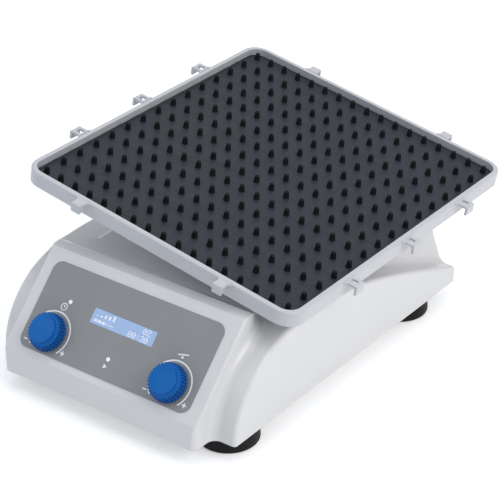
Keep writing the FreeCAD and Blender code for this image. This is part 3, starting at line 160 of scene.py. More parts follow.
def spread(tree, value, low, high):
    # Stretches the values between low and high over the whole range from 0 to 1.
    node = tree.nodes.new("ShaderNodeMapRange")
    tree.links.new(value, node.inputs["Value"])
    node.inputs["From Min"].default_value = low
    node.inputs["From Max"].default_value = high
    return node.outputs["Result"]


def socket_names(tree):
    return [item.name for item in tree.interface.items_tree]


def make_stock_grain():
    tree, given, result = group_tree(
        "stock_grain",
        [("Place", "NodeSocketVector", None), ("Grain Scale", "NodeSocketFloat", GRAIN_SCALE),
         ("Mottle Scale", "NodeSocketFloat", MOTTLE_SCALE)],
        ["Grain", "Mottle"])
    fine = noise_node(tree, detail=3.0, roughness=0.6)
    broad = noise_node(tree, detail=4.0, roughness=0.55)
    for node, scale in ((fine, "Grain Scale"), (broad, "Mottle Scale")):
        tree.links.new(given.outputs["Place"], node.inputs["Vector"])
        tree.links.new(given.outputs[scale], node.inputs["Scale"])
    mottle = spread(tree, broad.outputs["Fac"], low=0.3, high=0.7)
    tree.links.new(fine.outputs["Fac"], result.inputs["Grain"])
    tree.links.new(mottle, result.inputs["Mottle"])
    return tree


STOCK_GRAIN = make_stock_grain()
print(STOCK_GRAIN.name, "has", socket_names(STOCK_GRAIN))

# %% Wipe marks
WIPE_STRETCH = (40.0, 700.0, 700.0)


def make_wipe_marks():
    tree, given, result = group_tree(
        "wipe_marks",
        [("Place", "NodeSocketVector", None), ("Stretch", "NodeSocketVector", WIPE_STRETCH)],
        ["Marks"])
    stretched = tree.nodes.new("ShaderNodeVectorMath")
    stretched.operation = "MULTIPLY"
    tree.links.new(given.outputs["Place"], stretched.inputs[0])
    tree.links.new(given.outputs["Stretch"], stretched.inputs[1])
    streaks = noise_node(tree, detail=2.0, roughness=0.5)
    streaks.inputs["Scale"].default_value = 1.0
    tree.links.new(stretched.outputs[0], streaks.inputs["Vector"])
    marks = spread(tree, streaks.outputs["Fac"], low=0.56, high=0.74)
    tree.links.new(marks, result.inputs["Marks"])
    return tree


WIPE_MARKS = make_wipe_marks()
print(WIPE_MARKS.name, "has", socket_names(WIPE_MARKS))

# %% Settled dust
DUST_PATCH_SCALE = 60.0


def math_node(tree, operation, first, second):
    node = tree.nodes.new("ShaderNodeMath")
    node.operation = operation
    for socket, value in zip(node.inputs, (first, second)):
        if isinstance(value, (int, float)):
            socket.default_value = value
        else:
            tree.links.new(value, socket)
    return node.outputs[0]


def make_settled_dust():
    tree, given, result = group_tree(
        "settled_dust", [("Place", "NodeSocketVector", None)], ["Dust"])
    facing = tree.nodes.new("ShaderNodeNewGeometry")
    parts = tree.nodes.new("ShaderNodeSeparateXYZ")
    tree.links.new(facing.outputs["Normal"], parts.inputs[0])
    patches = noise_node(tree, detail=5.0, roughness=0.65)
    patches.inputs["Scale"].default_value = DUST_PATCH_SCALE
    tree.links.new(given.outputs["Place"], patches.inputs["Vector"])
    upward = spread(tree, parts.outputs["Z"], low=0.55, high=1.0)
    patchy = spread(tree, patches.outputs["Fac"], low=0.42, high=0.78)
    tree.links.new(math_node(tree, "MULTIPLY", upward, patchy), result.inputs["Dust"])
    return tree


SETTLED_DUST = make_settled_dust()
print(SETTLED_DUST.name, "has", socket_names(SETTLED_DUST))

# %% [markdown]
# White mouldings
#
# The housing is a glossy white moulding, and the tray a greyer one with a satin face. Each finish
# could be drawn by hand in the shader editor, but they differ in a few numbers only, so one
# function builds them all. The mottle runs between two close colours, wipe marks move the
# roughness within a range, and dust lightens the faces that look up. The Principled shader stays
# in the material itself, because the export can't read it inside a group.

# %% Finish builder
DUST_COLOUR = (0.62, 0.61, 0.59)
GRAIN_HEIGHT = 1.0 * MM


def mix_colour(tree, factor, first, second):
    node = tree.nodes.new("ShaderNodeMix")
    node.data_type = "RGBA"
    sockets = [socket for socket in node.inputs if socket.type == "RGBA"]
    tree.links.new(factor, node.inputs[0])
    for socket, value in zip(sockets, (first, second)):
        if isinstance(value, tuple):
            socket.default_value = (*value, 1)
        else:
            tree.links.new(value, socket)
    return next(socket for socket in node.outputs if socket.type == "RGBA")


def place_group(tree, group, place):
    node = tree.nodes.new("ShaderNodeGroup")
    node.node_tree = group
    tree.links.new(place, node.inputs["Place"])
    return node


def finish(name, light, dark, gloss, grain_scale=GRAIN_SCALE, grain_depth=0.04,
           mottle_scale=MOTTLE_SCALE, dust=0.05, metallic=0.0, stretch=WIPE_STRETCH, shine=0.5):
    # gloss is the roughness of the smoothest and of the most handled places.
    material = bpy.data.materials.new(name)
    material.use_nodes = True
    tree = material.node_tree
    shader = tree.nodes["Principled BSDF"]
    place = tree.nodes.new("ShaderNodeTexCoord").outputs["Object"]
    grain = place_group(tree, STOCK_GRAIN, place)
    grain.inputs["Grain Scale"].default_value = grain_scale
    grain.inputs["Mottle Scale"].default_value = mottle_scale
    marks = place_group(tree, WIPE_MARKS, place)
    marks.inputs["Stretch"].default_value = stretch
    settled = place_group(tree, SETTLED_DUST, place)
    body = mix_colour(tree, grain.outputs["Mottle"], light, dark)
    amount = math_node(tree, "MULTIPLY", settled.outputs["Dust"], dust)
    tree.links.new(mix_colour(tree, amount, body, DUST_COLOUR), shader.inputs["Base Color"])
    handled = tree.nodes.new("ShaderNodeMapRange")
    tree.links.new(marks.outputs["Marks"], handled.inputs["Value"])
    handled.inputs["To Min"].default_value = gloss[0]
    handled.inputs["To Max"].default_value = gloss[1]
    tree.links.new(handled.outputs["Result"], shader.inputs["Roughness"])
    bump = tree.nodes.new("ShaderNodeBump")
    bump.inputs["Strength"].default_value = grain_depth
    bump.inputs["Distance"].default_value = GRAIN_HEIGHT
    tree.links.new(grain.outputs["Grain"], bump.inputs["Height"])
    tree.links.new(bump.outputs["Normal"], shader.inputs["Normal"])
    shader.inputs["Metallic"].default_value = metallic
    shader.inputs["Specular IOR Level"].default_value = shine
    return material


housing_white = finish("housing_white", light=(0.716, 0.713, 0.711), dark=(0.696, 0.693, 0.691),
                       gloss=(0.20, 0.28), grain_scale=1500.0, grain_depth=0.012)
tray_white = finish("tray_white", light=(0.555, 0.56, 0.582), dark=(0.53, 0.535, 0.558),
                    gloss=(0.32, 0.46), grain_scale=1500.0, grain_depth=0.04)
print("made", housing_white.name, "and", tray_white.name)

# %% [markdown]
# Rubber, film and ink
#
# The mat is slate-coloured rubber and its pegs are nearly black, as the feet are. The console's
# face is a grey printed film with white marks. Rubber could be made by roughness alone, but it
# would still mirror the white studio at a low angle, so its specular level comes down as well.

# %% Rubber, film and ink
mat_slate = finish("mat_slate", light=(0.027, 0.032, 0.042), dark=(0.021, 0.025, 0.033),
                   gloss=(0.55, 0.72), grain_scale=2200.0, grain_depth=0.10,
                   mottle_scale=35.0, dust=0.008, shine=0.2)
peg_black = finish("peg_black", light=(0.0085, 0.0085, 0.0095), dark=(0.006, 0.006, 0.007),
                   gloss=(0.5, 0.66), grain_scale=2600.0, grain_depth=0.06,
                   mottle_scale=60.0, dust=0.002, shine=0.12)
foot_rubber = finish("foot_rubber", light=(0.010, 0.010, 0.011), dark=(0.007, 0.007, 0.008),
                     gloss=(0.55, 0.75), grain_scale=1800.0, grain_depth=0.10,
                     mottle_scale=60.0, dust=0.015, shine=0.15)
overlay_grey = finish("overlay_grey", light=(0.283, 0.292, 0.294), dark=(0.270, 0.279, 0.282),
                      gloss=(0.44, 0.56), grain_scale=2600.0, grain_depth=0.05,
                      mottle_scale=30.0, dust=0.02, shine=0.35)
print_white = finish("print_white", light=(0.95, 0.955, 0.96), dark=(0.92, 0.925, 0.93),
                     gloss=(0.5, 0.6), grain_scale=2200.0, grain_depth=0.02,
                     mottle_scale=200.0, dust=0.0)
print("made", [made.name for made in (mat_slate, peg_black, foot_rubber, overlay_grey, print_white)])

# %% [markdown]
# Blue grips
#
# The knobs are moulded in one blue. Their ribbed skirts are in shade and look deeper than their
# tops, and this shade is painted into the colour. A second material on the skirt would leave a
# hard seam. Here the finish compares each face's direction with the knob's axis and slides to a
# darker blue, a painted shade, as the face turns side on. The direction is the object's own, so
# the painted shade turns with the knob.

# %% Blue grips
FACE_ON, SIDE_ON = 0.8, 0.2


def painted_side_shade(material, axis, colour):
    tree = material.node_tree
    shader = tree.nodes["Principled BSDF"]
    facing = tree.nodes.new("ShaderNodeVectorMath")
    facing.operation = "DOT_PRODUCT"
    facing.inputs[1].default_value = axis
    tree.links.new(tree.nodes.new("ShaderNodeTexCoord").outputs["Normal"], facing.inputs[0])
    # Painted shade: faces that turn side on to the knob's axis are mixed towards the darker blue.
    side = spread(tree, facing.outputs["Value"], FACE_ON, SIDE_ON)
    body = shader.inputs["Base Color"].links[0].from_socket
    tree.links.new(mix_colour(tree, side, body, colour), shader.inputs["Base Color"])


knob_blue = finish("knob_blue", light=(0.004, 0.140, 0.48), dark=(0.003, 0.124, 0.44),
                   gloss=(0.40, 0.54), grain_scale=1800.0, grain_depth=0.05,
                   mottle_scale=70.0, dust=0.004, shine=0.16)
# The skirt's darker blue below is painted shade, not a second colour of the plastic.
painted_side_shade(knob_blue, axis=PANEL.col[2].xyz, colour=(0.002, 0.075, 0.29))
print("made", knob_blue.name)

# %% [markdown]
# Lit finishes
#
# The display glows a pale blue behind its white dots, and the two lamps beside the knobs are
# small white lenses. Lamps inside them would cost render time, so these finishes give off a
# little light themselves.

# %% Lit finishes
def lit(material, colour, strength):
    shader = material.node_tree.nodes["Principled BSDF"]
    shader.inputs["Emission Color"].default_value = (*colour, 1)
    shader.inputs["Emission Strength"].default_value = strength
    return material


display_blue = lit(
    finish("display_blue", light=(0.33, 0.47, 0.73), dark=(0.30, 0.44, 0.70), gloss=(0.14, 0.22),
           grain_scale=2400.0, grain_depth=0.01, mottle_scale=60.0, dust=0.01),
    colour=(0.33, 0.48, 0.77), strength=0.13)
digit_white = lit(
    finish("digit_white", light=(0.86, 0.89, 0.95), dark=(0.80, 0.84, 0.92), gloss=(0.3, 0.4),
           grain_scale=2400.0, grain_depth=0.01, mottle_scale=300.0, dust=0.0),
    colour=(0.9, 0.94, 1.0), strength=0.2)
lamp_white = lit(
    finish("lamp_white", light=(0.88, 0.885, 0.88), dark=(0.82, 0.83, 0.82), gloss=(0.16, 0.26),
           grain_scale=2000.0, grain_depth=0.01, mottle_scale=300.0, dust=0.0),
    colour=(1.0, 1.0, 0.97), strength=0.15)
print("made", [made.name for made in (display_blue, digit_white, lamp_white)])

# %% [markdown]
# Finishes of the works
#
# Inside are steel shafts and screws, satin aluminium, a plated bracket, green circuit boards,
# black plastic and brass. They hardly show, but they share the builder, so they cost little. The
# bright metals have their wipe marks stretched the other way, which makes them look brushed.

# %% Finishes of the works
BRUSHED = (900.0, 30.0, 900.0)

steel_bright = finish("steel_bright", light=(0.56, 0.565, 0.57), dark=(0.47, 0.475, 0.48),
                      gloss=(0.22, 0.42), grain_scale=900.0, grain_depth=0.03,
                      mottle_scale=90.0, dust=0.03, metallic=1.0, stretch=BRUSHED)
aluminium_satin = finish("aluminium_satin", light=(0.66, 0.665, 0.67), dark=(0.58, 0.585, 0.59),
                         gloss=(0.34, 0.5), grain_scale=1100.0, grain_depth=0.05,
                         mottle_scale=70.0, dust=0.03, metallic=1.0, stretch=BRUSHED)
zinc_plate = finish("zinc_plate", light=(0.50, 0.505, 0.51), dark=(0.38, 0.385, 0.39),
                    gloss=(0.40, 0.58), grain_scale=700.0, grain_depth=0.06,
                    mottle_scale=120.0, dust=0.05, metallic=1.0)
board_green = finish("board_green", light=(0.018, 0.115, 0.05), dark=(0.012, 0.085, 0.036),
                     gloss=(0.3, 0.42), grain_scale=900.0, grain_depth=0.05,
                     mottle_scale=180.0, dust=0.02)
works_black = finish("works_black", light=(0.022, 0.022, 0.024), dark=(0.015, 0.015, 0.017),
                     gloss=(0.42, 0.58), grain_scale=1600.0, grain_depth=0.06,
                     mottle_scale=60.0, dust=0.03)
bearing_brass = finish("bearing_brass", light=(0.62, 0.43, 0.17), dark=(0.52, 0.35, 0.13),
                       gloss=(0.28, 0.44), grain_scale=900.0, grain_depth=0.03,
                       mottle_scale=90.0, dust=0.02, metallic=1.0, stretch=BRUSHED)
print("finishes so far:", len(bpy.data.materials))

# %% [markdown]
# Finishes on the model's nodes
#
# Every node of the model could be given its finish by name. Its record already says which
# material slot a node belongs to, so one table from slots to finishes dresses them all.

# %% Dress the nodes
SLOT_FINISH = {
    "housing": housing_white, "tray": tray_white, "mat": mat_slate, "feet": foot_rubber,
    "overlay": overlay_grey, "window": display_blue, "display": display_blue, "lamp": lamp_white,
    "knob": knob_blue, "steel": steel_bright, "aluminium": aluminium_satin, "bracket": zinc_plate,
    "circuit_board": board_green, "black_plastic": works_black, "brass": bearing_brass,
}
for entry in frame["record"]["subparts"]:
    node = frame["nodes"][entry["node"]]
    node.data.materials.clear()
    node.data.materials.append(SLOT_FINISH[entry["material_slot"]])

# %% [markdown]
# The mat's sheet
#
# The mat fills the tray between its rims. Its sheet is 2 mm thick with rounded corners. A cube
# with bevelled edges would do, but an outline that is given a thickness needs no modifier, and
# the same maker serves for the printed marks further on. Marks and outlines are in millimetres.
# A finished piece has its place in its mesh and rides on one body of the model.

# %% Sheet outline
def metres(*values):
    return tuple(value * MM for value in values)


def flat_mark(mesh, outline, low, high):
    # Adds a prism over an anticlockwise outline to the mesh, from height low to high.
    floor = [mesh.verts.new(metres(x, y, low)) for x, y in outline]
    roof = [mesh.verts.new(metres(x, y, high)) for x, y in outline]
    mesh.faces.new(roof)
    mesh.faces.new(list(reversed(floor)))
    count = len(outline)
    for step in range(count):
        after = (step + 1) % count
        mesh.faces.new((floor[step], floor[after], roof[after], roof[step]))


def rounded_outline(half_width, half_length, corner, steps=8):
    points = []
    for quarter, (sx, sy) in enumerate(((1, 1), (-1, 1), (-1, -1), (1, -1))):
        for step in range(steps + 1):
            angle = math.pi / 2 * (quarter + step / steps)
            points.append((sx * (half_width - corner) + corner * math.cos(angle),
                           sy * (half_length - corner) + corner * math.sin(angle)))
    return points


MAT_BOTTOM, MAT_TOP = 13.0, 15.0
MAT_HALF_WIDTH, MAT_HALF_LENGTH, MAT_CORNER = 128.7, 148.7, 11.2
sheet_mesh = bmesh.new()
sheet_outline = rounded_outline(MAT_HALF_WIDTH, MAT_HALF_LENGTH, MAT_CORNER)
flat_mark(sheet_mesh, sheet_outline, MAT_BOTTOM, MAT_TOP)
print("the sheet's outline has", len(sheet_outline), "points")

# %% Mat sheet
SMOOTH_BELOW = math.radians(38)
TRAY_SHIFT = -2.0


def as_mesh(name, mesh):
    data = bpy.data.meshes.new(name)
    bmesh.ops.recalc_face_normals(mesh, faces=mesh.faces)
    mesh.to_mesh(data)
    mesh.free()
    return data


def finished(name, data, plane, material, smooth=False):
    # Makes an object that lies at the origin, with its place on the plane in its mesh.
    data.name = name
    data.transform(plane)
    data.materials.clear()
    data.materials.append(material)
    data.polygons.foreach_set("use_smooth", [smooth] * len(data.polygons))
    if smooth:
        data.set_sharp_from_angle(angle=SMOOTH_BELOW)
    piece = bpy.data.objects.new(name, data)
    scene.collection.objects.link(piece)
    return piece


def dressed(piece, body, slot, *nodes):
    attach(piece, body)
    if nodes:
        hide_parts(*nodes)
    print(piece.name, "has", len(piece.data.polygons), "faces")


MAT_PLACE = TRAY @ Matrix.Translation(metres(TRAY_SHIFT, 0, 0))
mat_sheet = finished("mat_sheet", as_mesh("mat_sheet", sheet_mesh), MAT_PLACE, mat_slate)
dressed(mat_sheet, "platform", "mat", "peg_mat")

# %% [markdown]
# The pegs
#
# The mat is moulded with 15 rows of 17 blunt pegs. Two array modifiers could copy one peg, but
# each copy would be exactly alike. A node tree plants the peg on a grid and gives every one a
# seeded turn and a very slight lean, as soft rubber has. Its inputs are the columns and rows, the
# width and length of the grid, the peg, the seed and the finish.

# %% Peg field tree
PEG_LEAN = 0.02


def geometry_tree(name, inputs):
    tree = bpy.data.node_groups.new(name, "GeometryNodeTree")
    for label, kind in inputs:
        tree.interface.new_socket(label, in_out="INPUT", socket_type=kind)
    tree.interface.new_socket("Geometry", in_out="OUTPUT", socket_type="NodeSocketGeometry")
    return tree, tree.nodes.new("NodeGroupInput"), tree.nodes.new("NodeGroupOutput")


def ends_in(tree, instances, given, result):
    # Every tree ends the same way: instances become real mesh, and take their finish.
    real = tree.nodes.new("GeometryNodeRealizeInstances")
    coat = tree.nodes.new("GeometryNodeSetMaterial")
    tree.links.new(instances, real.inputs["Geometry"])
    tree.links.new(real.outputs["Geometry"], coat.inputs["Geometry"])
    tree.links.new(given.outputs["Finish"], coat.inputs["Material"])
    tree.links.new(coat.outputs["Geometry"], result.inputs["Geometry"])


def make_peg_field():
    tree, given, result = geometry_tree("peg_field", [
        ("Columns", "NodeSocketInt"), ("Rows", "NodeSocketInt"), ("Width", "NodeSocketFloat"),
        ("Length", "NodeSocketFloat"), ("Peg", "NodeSocketObject"), ("Seed", "NodeSocketInt"),
        ("Finish", "NodeSocketMaterial")])
    grid = tree.nodes.new("GeometryNodeMeshGrid")
    grid_sockets = {"Width": "Size X", "Length": "Size Y", "Columns": "Vertices X", "Rows": "Vertices Y"}
    for label, socket in grid_sockets.items():
        tree.links.new(given.outputs[label], grid.inputs[socket])
    peg = tree.nodes.new("GeometryNodeObjectInfo")
    tree.links.new(given.outputs["Peg"], peg.inputs["Object"])
    turn = tree.nodes.new("FunctionNodeRandomValue")
    turn.data_type = "FLOAT_VECTOR"
    turn.inputs[0].default_value = (-PEG_LEAN, -PEG_LEAN, 0)
    turn.inputs[1].default_value = (PEG_LEAN, PEG_LEAN, 2 * math.pi)
    tree.links.new(given.outputs["Seed"], turn.inputs["Seed"])
    planted = tree.nodes.new("GeometryNodeInstanceOnPoints")
    tree.links.new(grid.outputs["Mesh"], planted.inputs["Points"])
    tree.links.new(peg.outputs["Geometry"], planted.inputs["Instance"])
    tree.links.new(turn.outputs["Value"], planted.inputs["Rotation"])
    ends_in(tree, planted.outputs["Instances"], given, result)
    return tree


PEG_FIELD = make_peg_field()
print(PEG_FIELD.name, "has", socket_names(PEG_FIELD))

# %% [markdown]
# The peg's shape
#
# One peg is 5 mm across near its foot and 6.5 mm tall, with a rounded tip, and its foot flares
# into the sheet. It could be sculpted, but a profile that is spun about its axis is exact. It has
# few faces, because it is repeated hundreds of times.

# %% Peg shape
PEG_PROFILE = [(2.85, -0.3), (2.5, 0.4), (2.12, 4.2), (1.92, 5.2), (1.4, 6.05), (0.75, 6.42),
               (0.3, 6.5)]
PEG_SIDES = 10


def turned(profile, sides):
    # Spins (radius, height) points in millimetres, given from the bottom up, about the Z axis.
    mesh = bmesh.new()
    rings = []
    for radius, height in profile:
        ring = []
        for step in range(sides):
            angle = 2 * math.pi * step / sides
            spot = (radius * math.cos(angle), radius * math.sin(angle), height)
            ring.append(mesh.verts.new(metres(*spot)))
        rings.append(ring)
    for lower, upper in zip(rings, rings[1:]):
        for step in range(sides):
            after = (step + 1) % sides
            mesh.faces.new((lower[step], lower[after], upper[after], upper[step]))
    mesh.faces.new(list(reversed(rings[0])))
    mesh.faces.new(rings[-1])
    return mesh


def pattern_object(name, mesh):
    # A shape that a tree repeats. It is taken away again once the tree has run.
    shape = bpy.data.objects.new(name, as_mesh(name, mesh))
    scene.collection.objects.link(shape)
    return shape


peg_shape = pattern_object("peg_shape", turned(PEG_PROFILE, PEG_SIDES))
print("one peg has", len(peg_shape.data.polygons), "faces")

# %% Pegs
PEG_COLUMNS, PEG_ROWS = 17, 15
PEG_PITCH_ACROSS, PEG_PITCH_ALONG = 15.0, 20.0
PEG_SEED = 7


def grown(tree, values, start=None):
    # Runs the tree on an object, and gives back the plain mesh it makes.
    holder = bpy.data.objects.new(tree.name, start or bpy.data.meshes.new(tree.name))
    scene.collection.objects.link(holder)
    modifier = holder.modifiers.new(tree.name, "NODES")
    modifier.node_group = tree
    for item in tree.interface.items_tree:
        if item.in_out == "INPUT" and item.name in values:
            modifier[item.identifier] = values[item.name]
    ready = holder.evaluated_get(bpy.context.evaluated_depsgraph_get())
    mesh = bpy.data.meshes.new_from_object(ready)
    holder.modifiers.remove(modifier)
    bpy.data.objects.remove(holder)
    return mesh


pegs_mesh = grown(PEG_FIELD, {
    "Columns": PEG_COLUMNS, "Rows": PEG_ROWS, "Peg": peg_shape, "Seed": PEG_SEED,
    "Width": (PEG_COLUMNS - 1) * PEG_PITCH_ACROSS * MM,
    "Length": (PEG_ROWS - 1) * PEG_PITCH_ALONG * MM, "Finish": peg_black})
bpy.data.objects.remove(peg_shape)
PEG_PLACE = MAT_PLACE @ Matrix.Translation(metres(0, 0, MAT_TOP))
mat_pegs = finished("mat_pegs", pegs_mesh, PEG_PLACE, peg_black, smooth=True)
dressed(mat_pegs, "platform", "mat")

# %% [markdown]
# The knobs
#
# Each knob is a blue cap with a tapered, ribbed skirt, a rounded shoulder and a raised disc whose
# top is slightly dished. The cap is turned as the pegs are. One toothed outline could give cap
# and ribs together, but separate ribs can lean with the skirt and end in a round tip, so a second
# tree stands a rib on every corner of a circle. Its inputs are the cap, the number of ribs, the
# radius of the ring, the rib, the angle from one rib to the next and the finish.

# %% Rib ring tree
def make_rib_ring():
    tree, given, result = geometry_tree("rib_ring", [
        ("Cap", "NodeSocketGeometry"), ("Ribs", "NodeSocketInt"), ("Radius", "NodeSocketFloat"),
        ("Rib", "NodeSocketObject"), ("Step", "NodeSocketFloat"), ("Finish", "NodeSocketMaterial")])
    ring = tree.nodes.new("GeometryNodeMeshCircle")
    tree.links.new(given.outputs["Ribs"], ring.inputs["Vertices"])
    tree.links.new(given.outputs["Radius"], ring.inputs["Radius"])
    rib = tree.nodes.new("GeometryNodeObjectInfo")
    tree.links.new(given.outputs["Rib"], rib.inputs["Object"])
    count = tree.nodes.new("GeometryNodeInputIndex")
    angle = math_node(tree, "MULTIPLY", count.outputs[0], given.outputs["Step"])
    turn = tree.nodes.new("ShaderNodeCombineXYZ")
    tree.links.new(angle, turn.inputs["Z"])
    planted = tree.nodes.new("GeometryNodeInstanceOnPoints")
    tree.links.new(ring.outputs["Mesh"], planted.inputs["Points"])
    tree.links.new(rib.outputs["Geometry"], planted.inputs["Instance"])
    tree.links.new(turn.outputs["Vector"], planted.inputs["Rotation"])
    together = tree.nodes.new("GeometryNodeJoinGeometry")
    tree.links.new(planted.outputs["Instances"], together.inputs["Geometry"])
    tree.links.new(given.outputs["Cap"], together.inputs["Geometry"])
    ends_in(tree, together.outputs["Geometry"], given, result)
    return tree


RIB_RING = make_rib_ring()
print(RIB_RING.name, "has", socket_names(RIB_RING))

# %% Knobs
KNOB_FOOT = 1.3
KNOB_RIBS = 34
RIB_RING_RADIUS = 15.05
RIB_LEAN = math.radians(10)
RIB_SIDES, CAP_SIDES = 10, 72
CAP_PROFILE = [(13.2, 0.0), (14.7, 0.0), (14.9, 0.3), (13.6, 7.8), (13.4, 8.2), (12.8, 8.5),
               (12.1, 8.62), (11.75, 8.7), (11.55, 8.95), (11.42, 10.5), (11.28, 10.95),
               (10.95, 11.28), (10.5, 11.4), (10.0, 11.32), (9.2, 11.12), (4.0, 11.05)]
RIB_PROFILE = [(0.6, 0.1), (0.93, 0.45), (0.93, 7.3), (0.85, 7.9), (0.6, 8.3), (0.2, 8.5)]


def leaning_rib():
    rib = turned(RIB_PROFILE, RIB_SIDES)
    lean = Matrix.Rotation(-RIB_LEAN, 3, "Y")
    bmesh.ops.rotate(rib, verts=rib.verts, cent=(0, 0, 0), matrix=lean)
    return rib


def knob_spot(control):
    # Where a knob's axis meets the overlay: across and up, in millimetres.
    axis_point = PANEL.inverted() @ Vector(joints[control + "_turn"]["pos_m"])
    return axis_point.x / MM, axis_point.y / MM


rib_shape = pattern_object("rib_shape", leaning_rib())
for control in ("timer", "speed"):
    cap_mesh = as_mesh("cap_shape", turned(CAP_PROFILE, CAP_SIDES))
    knob_mesh = grown(RIB_RING, {
        "Ribs": KNOB_RIBS, "Radius": RIB_RING_RADIUS * MM, "Rib": rib_shape,
        "Step": 2 * math.pi / KNOB_RIBS, "Finish": knob_blue}, cap_mesh)
    knob_place = PANEL @ Matrix.Translation(metres(*knob_spot(control), KNOB_FOOT))
    knob = finished(control + "_grip", knob_mesh, knob_place, knob_blue, smooth=True)
    dressed(knob, control + "_knob", "knob", control + "_knob")
bpy.data.objects.remove(rib_shape)

# %% [markdown]
# Scales round the knobs
#
# The overlay is printed in white: an open arc round each knob, with minus and plus at its ends.
# The print could be a pattern in the film's material, but fine lines would blur when the material
# is baked. As shapes 0.05 mm high they stay sharp. They reach a little into the film, so that no
# gap shows under them.

# %% Knob arcs
PRINT_LOW, PRINT_HIGH = -0.02, 0.05
FULL_TURN = 360
SCALE_RADIUS, SCALE_WIDTH, SCALE_STEPS = 18.4, 1.25, 60
SCALE_START, SCALE_STOP = -43, 225


def arc_mark(mesh, centre, radius, width, start, stop, steps):
    # Adds a printed arc as one closed band. An arc of a full turn has no ends.
    inner, outer = radius - width / 2, radius + width / 2
    section = ((inner, PRINT_LOW), (outer, PRINT_LOW), (outer, PRINT_HIGH), (inner, PRINT_HIGH))
    full_turn = stop - start == FULL_TURN
    rings = []
    for step in range(steps if full_turn else steps + 1):
        angle = math.radians(start + (stop - start) * step / steps)
        x, y = math.cos(angle), math.sin(angle)
        spots = [metres(centre[0] + reach * x, centre[1] + reach * y, z) for reach, z in section]
        rings.append([mesh.verts.new(spot) for spot in spots])
    for ring, after in zip(rings, rings[1:] + rings[:1] if full_turn else rings[1:]):
        for corner in range(len(section)):
            beside = (corner + 1) % len(section)
            mesh.faces.new((ring[corner], ring[beside], after[beside], after[corner]))
    if not full_turn:
        mesh.faces.new(rings[0])
        mesh.faces.new(list(reversed(rings[-1])))


panel_print = bmesh.new()
timer_x, knob_y = knob_spot("timer")
speed_x = knob_spot("speed")[0]
for knob_x in (timer_x, speed_x):
    arc_mark(panel_print, (knob_x, knob_y), SCALE_RADIUS, SCALE_WIDTH,
             SCALE_START, SCALE_STOP, SCALE_STEPS)
print("the arcs have", len(panel_print.faces), "faces")

# %% Minus and plus
SIGN_ACROSS, SIGN_DOWN = 18.9, 10.8
MINUS_LENGTH, MINUS_WIDTH = 3.6, 1.0
PLUS_REACH, PLUS_HALF_WIDTH = 2.1, 0.5
LEVEL = 0.0


def bar_mark(mesh, centre, length, width, turn):
    along = Vector((math.cos(turn), math.sin(turn))) * length / 2
    side = Vector((-math.sin(turn), math.cos(turn))) * width / 2
    middle = Vector(centre)
    corners = (middle - along - side, middle + along - side,
               middle + along + side, middle - along + side)
    flat_mark(mesh, corners, PRINT_LOW, PRINT_HIGH)


def plus_mark(mesh, x, y):
    quarter = [(PLUS_REACH, -PLUS_HALF_WIDTH), (PLUS_REACH, PLUS_HALF_WIDTH),
               (PLUS_HALF_WIDTH, PLUS_HALF_WIDTH)]
    outline = []
    for _ in range(4):
        outline += [(x + across, y + up) for across, up in quarter]
        quarter = [(-up, across) for across, up in quarter]
    flat_mark(mesh, outline, PRINT_LOW, PRINT_HIGH)


sign_y = knob_y - SIGN_DOWN
for knob_x in (timer_x, speed_x):
    bar_mark(panel_print, (knob_x - SIGN_ACROSS, sign_y), MINUS_LENGTH, MINUS_WIDTH, LEVEL)
    plus_mark(panel_print, knob_x + SIGN_ACROSS, sign_y)
print("arcs and signs have", len(panel_print.faces), "faces")

# %% [markdown]
# Signs beside the controls
#
# A small dial stands over the timer knob, a rocking sign over the speed knob, and a start
# triangle under the run lamp. They could come from a symbol font, but a few lines and triangles
# draw them, and then nothing depends on a font. They join the scales in one piece of print.

# %% Control signs
DIAL_ACROSS, DIAL_UP = 1.5, 23.4
DIAL_RADIUS, DIAL_LINE, DIAL_STEPS = 2.8, 0.75, 32
LONG_HAND, SHORT_HAND, HAND_HALF_WIDTH = 0.66 * DIAL_RADIUS, 0.45 * DIAL_RADIUS, 0.35
ROCKING_UP, ROCKING_TILT = 24.0, math.radians(14)
ROCKING_LENGTH, ROCKING_WIDTH = 9.5, 1.0
PIVOT_HALF_WIDTH, PIVOT_TOP, PIVOT_BOTTOM = 1.5, -0.7, -3.0
START_UP = -26.8
START_BACK, START_TIP, START_HALF_HEIGHT = -1.5, 1.9, 1.9


def shifted_mark(mesh, x, y, outline):
    flat_mark(mesh, [(x + across, y + up) for across, up in outline], PRINT_LOW, PRINT_HIGH)


dial_x, dial_y = timer_x + DIAL_ACROSS, knob_y + DIAL_UP
arc_mark(panel_print, (dial_x, dial_y), DIAL_RADIUS, DIAL_LINE, 0, FULL_TURN, DIAL_STEPS)
shifted_mark(panel_print, dial_x, dial_y, [
    (-HAND_HALF_WIDTH, -HAND_HALF_WIDTH), (SHORT_HAND, -HAND_HALF_WIDTH),
    (SHORT_HAND, HAND_HALF_WIDTH), (HAND_HALF_WIDTH, HAND_HALF_WIDTH),
    (HAND_HALF_WIDTH, LONG_HAND), (-HAND_HALF_WIDTH, LONG_HAND)])
rocking_y = knob_y + ROCKING_UP
bar_mark(panel_print, (speed_x, rocking_y), ROCKING_LENGTH, ROCKING_WIDTH, ROCKING_TILT)
shifted_mark(panel_print, speed_x, rocking_y, [
    (-PIVOT_HALF_WIDTH, PIVOT_BOTTOM), (PIVOT_HALF_WIDTH, PIVOT_BOTTOM), (0, PIVOT_TOP)])
shifted_mark(panel_print, 0, START_UP, [
    (START_BACK, -START_HALF_HEIGHT), (START_TIP, 0), (START_BACK, START_HALF_HEIGHT)])
print_piece = finished("panel_print", as_mesh("panel_print", panel_print), PANEL, print_white)
dressed(print_piece, "base", "overlay")

# %% [markdown]
# The display's signs
#
# The display shows plain signs in square dots: rising bars and a speed on the upper line, a bar
# that fills and two pairs for the time on the lower one. A text object would give smooth
# outlines, and a real module of this kind has dots. So each sign is a small grid of lit points,
# and a third tree puts a square dot on each. Its inputs are the points, the side and depth of a
# dot and the finish.

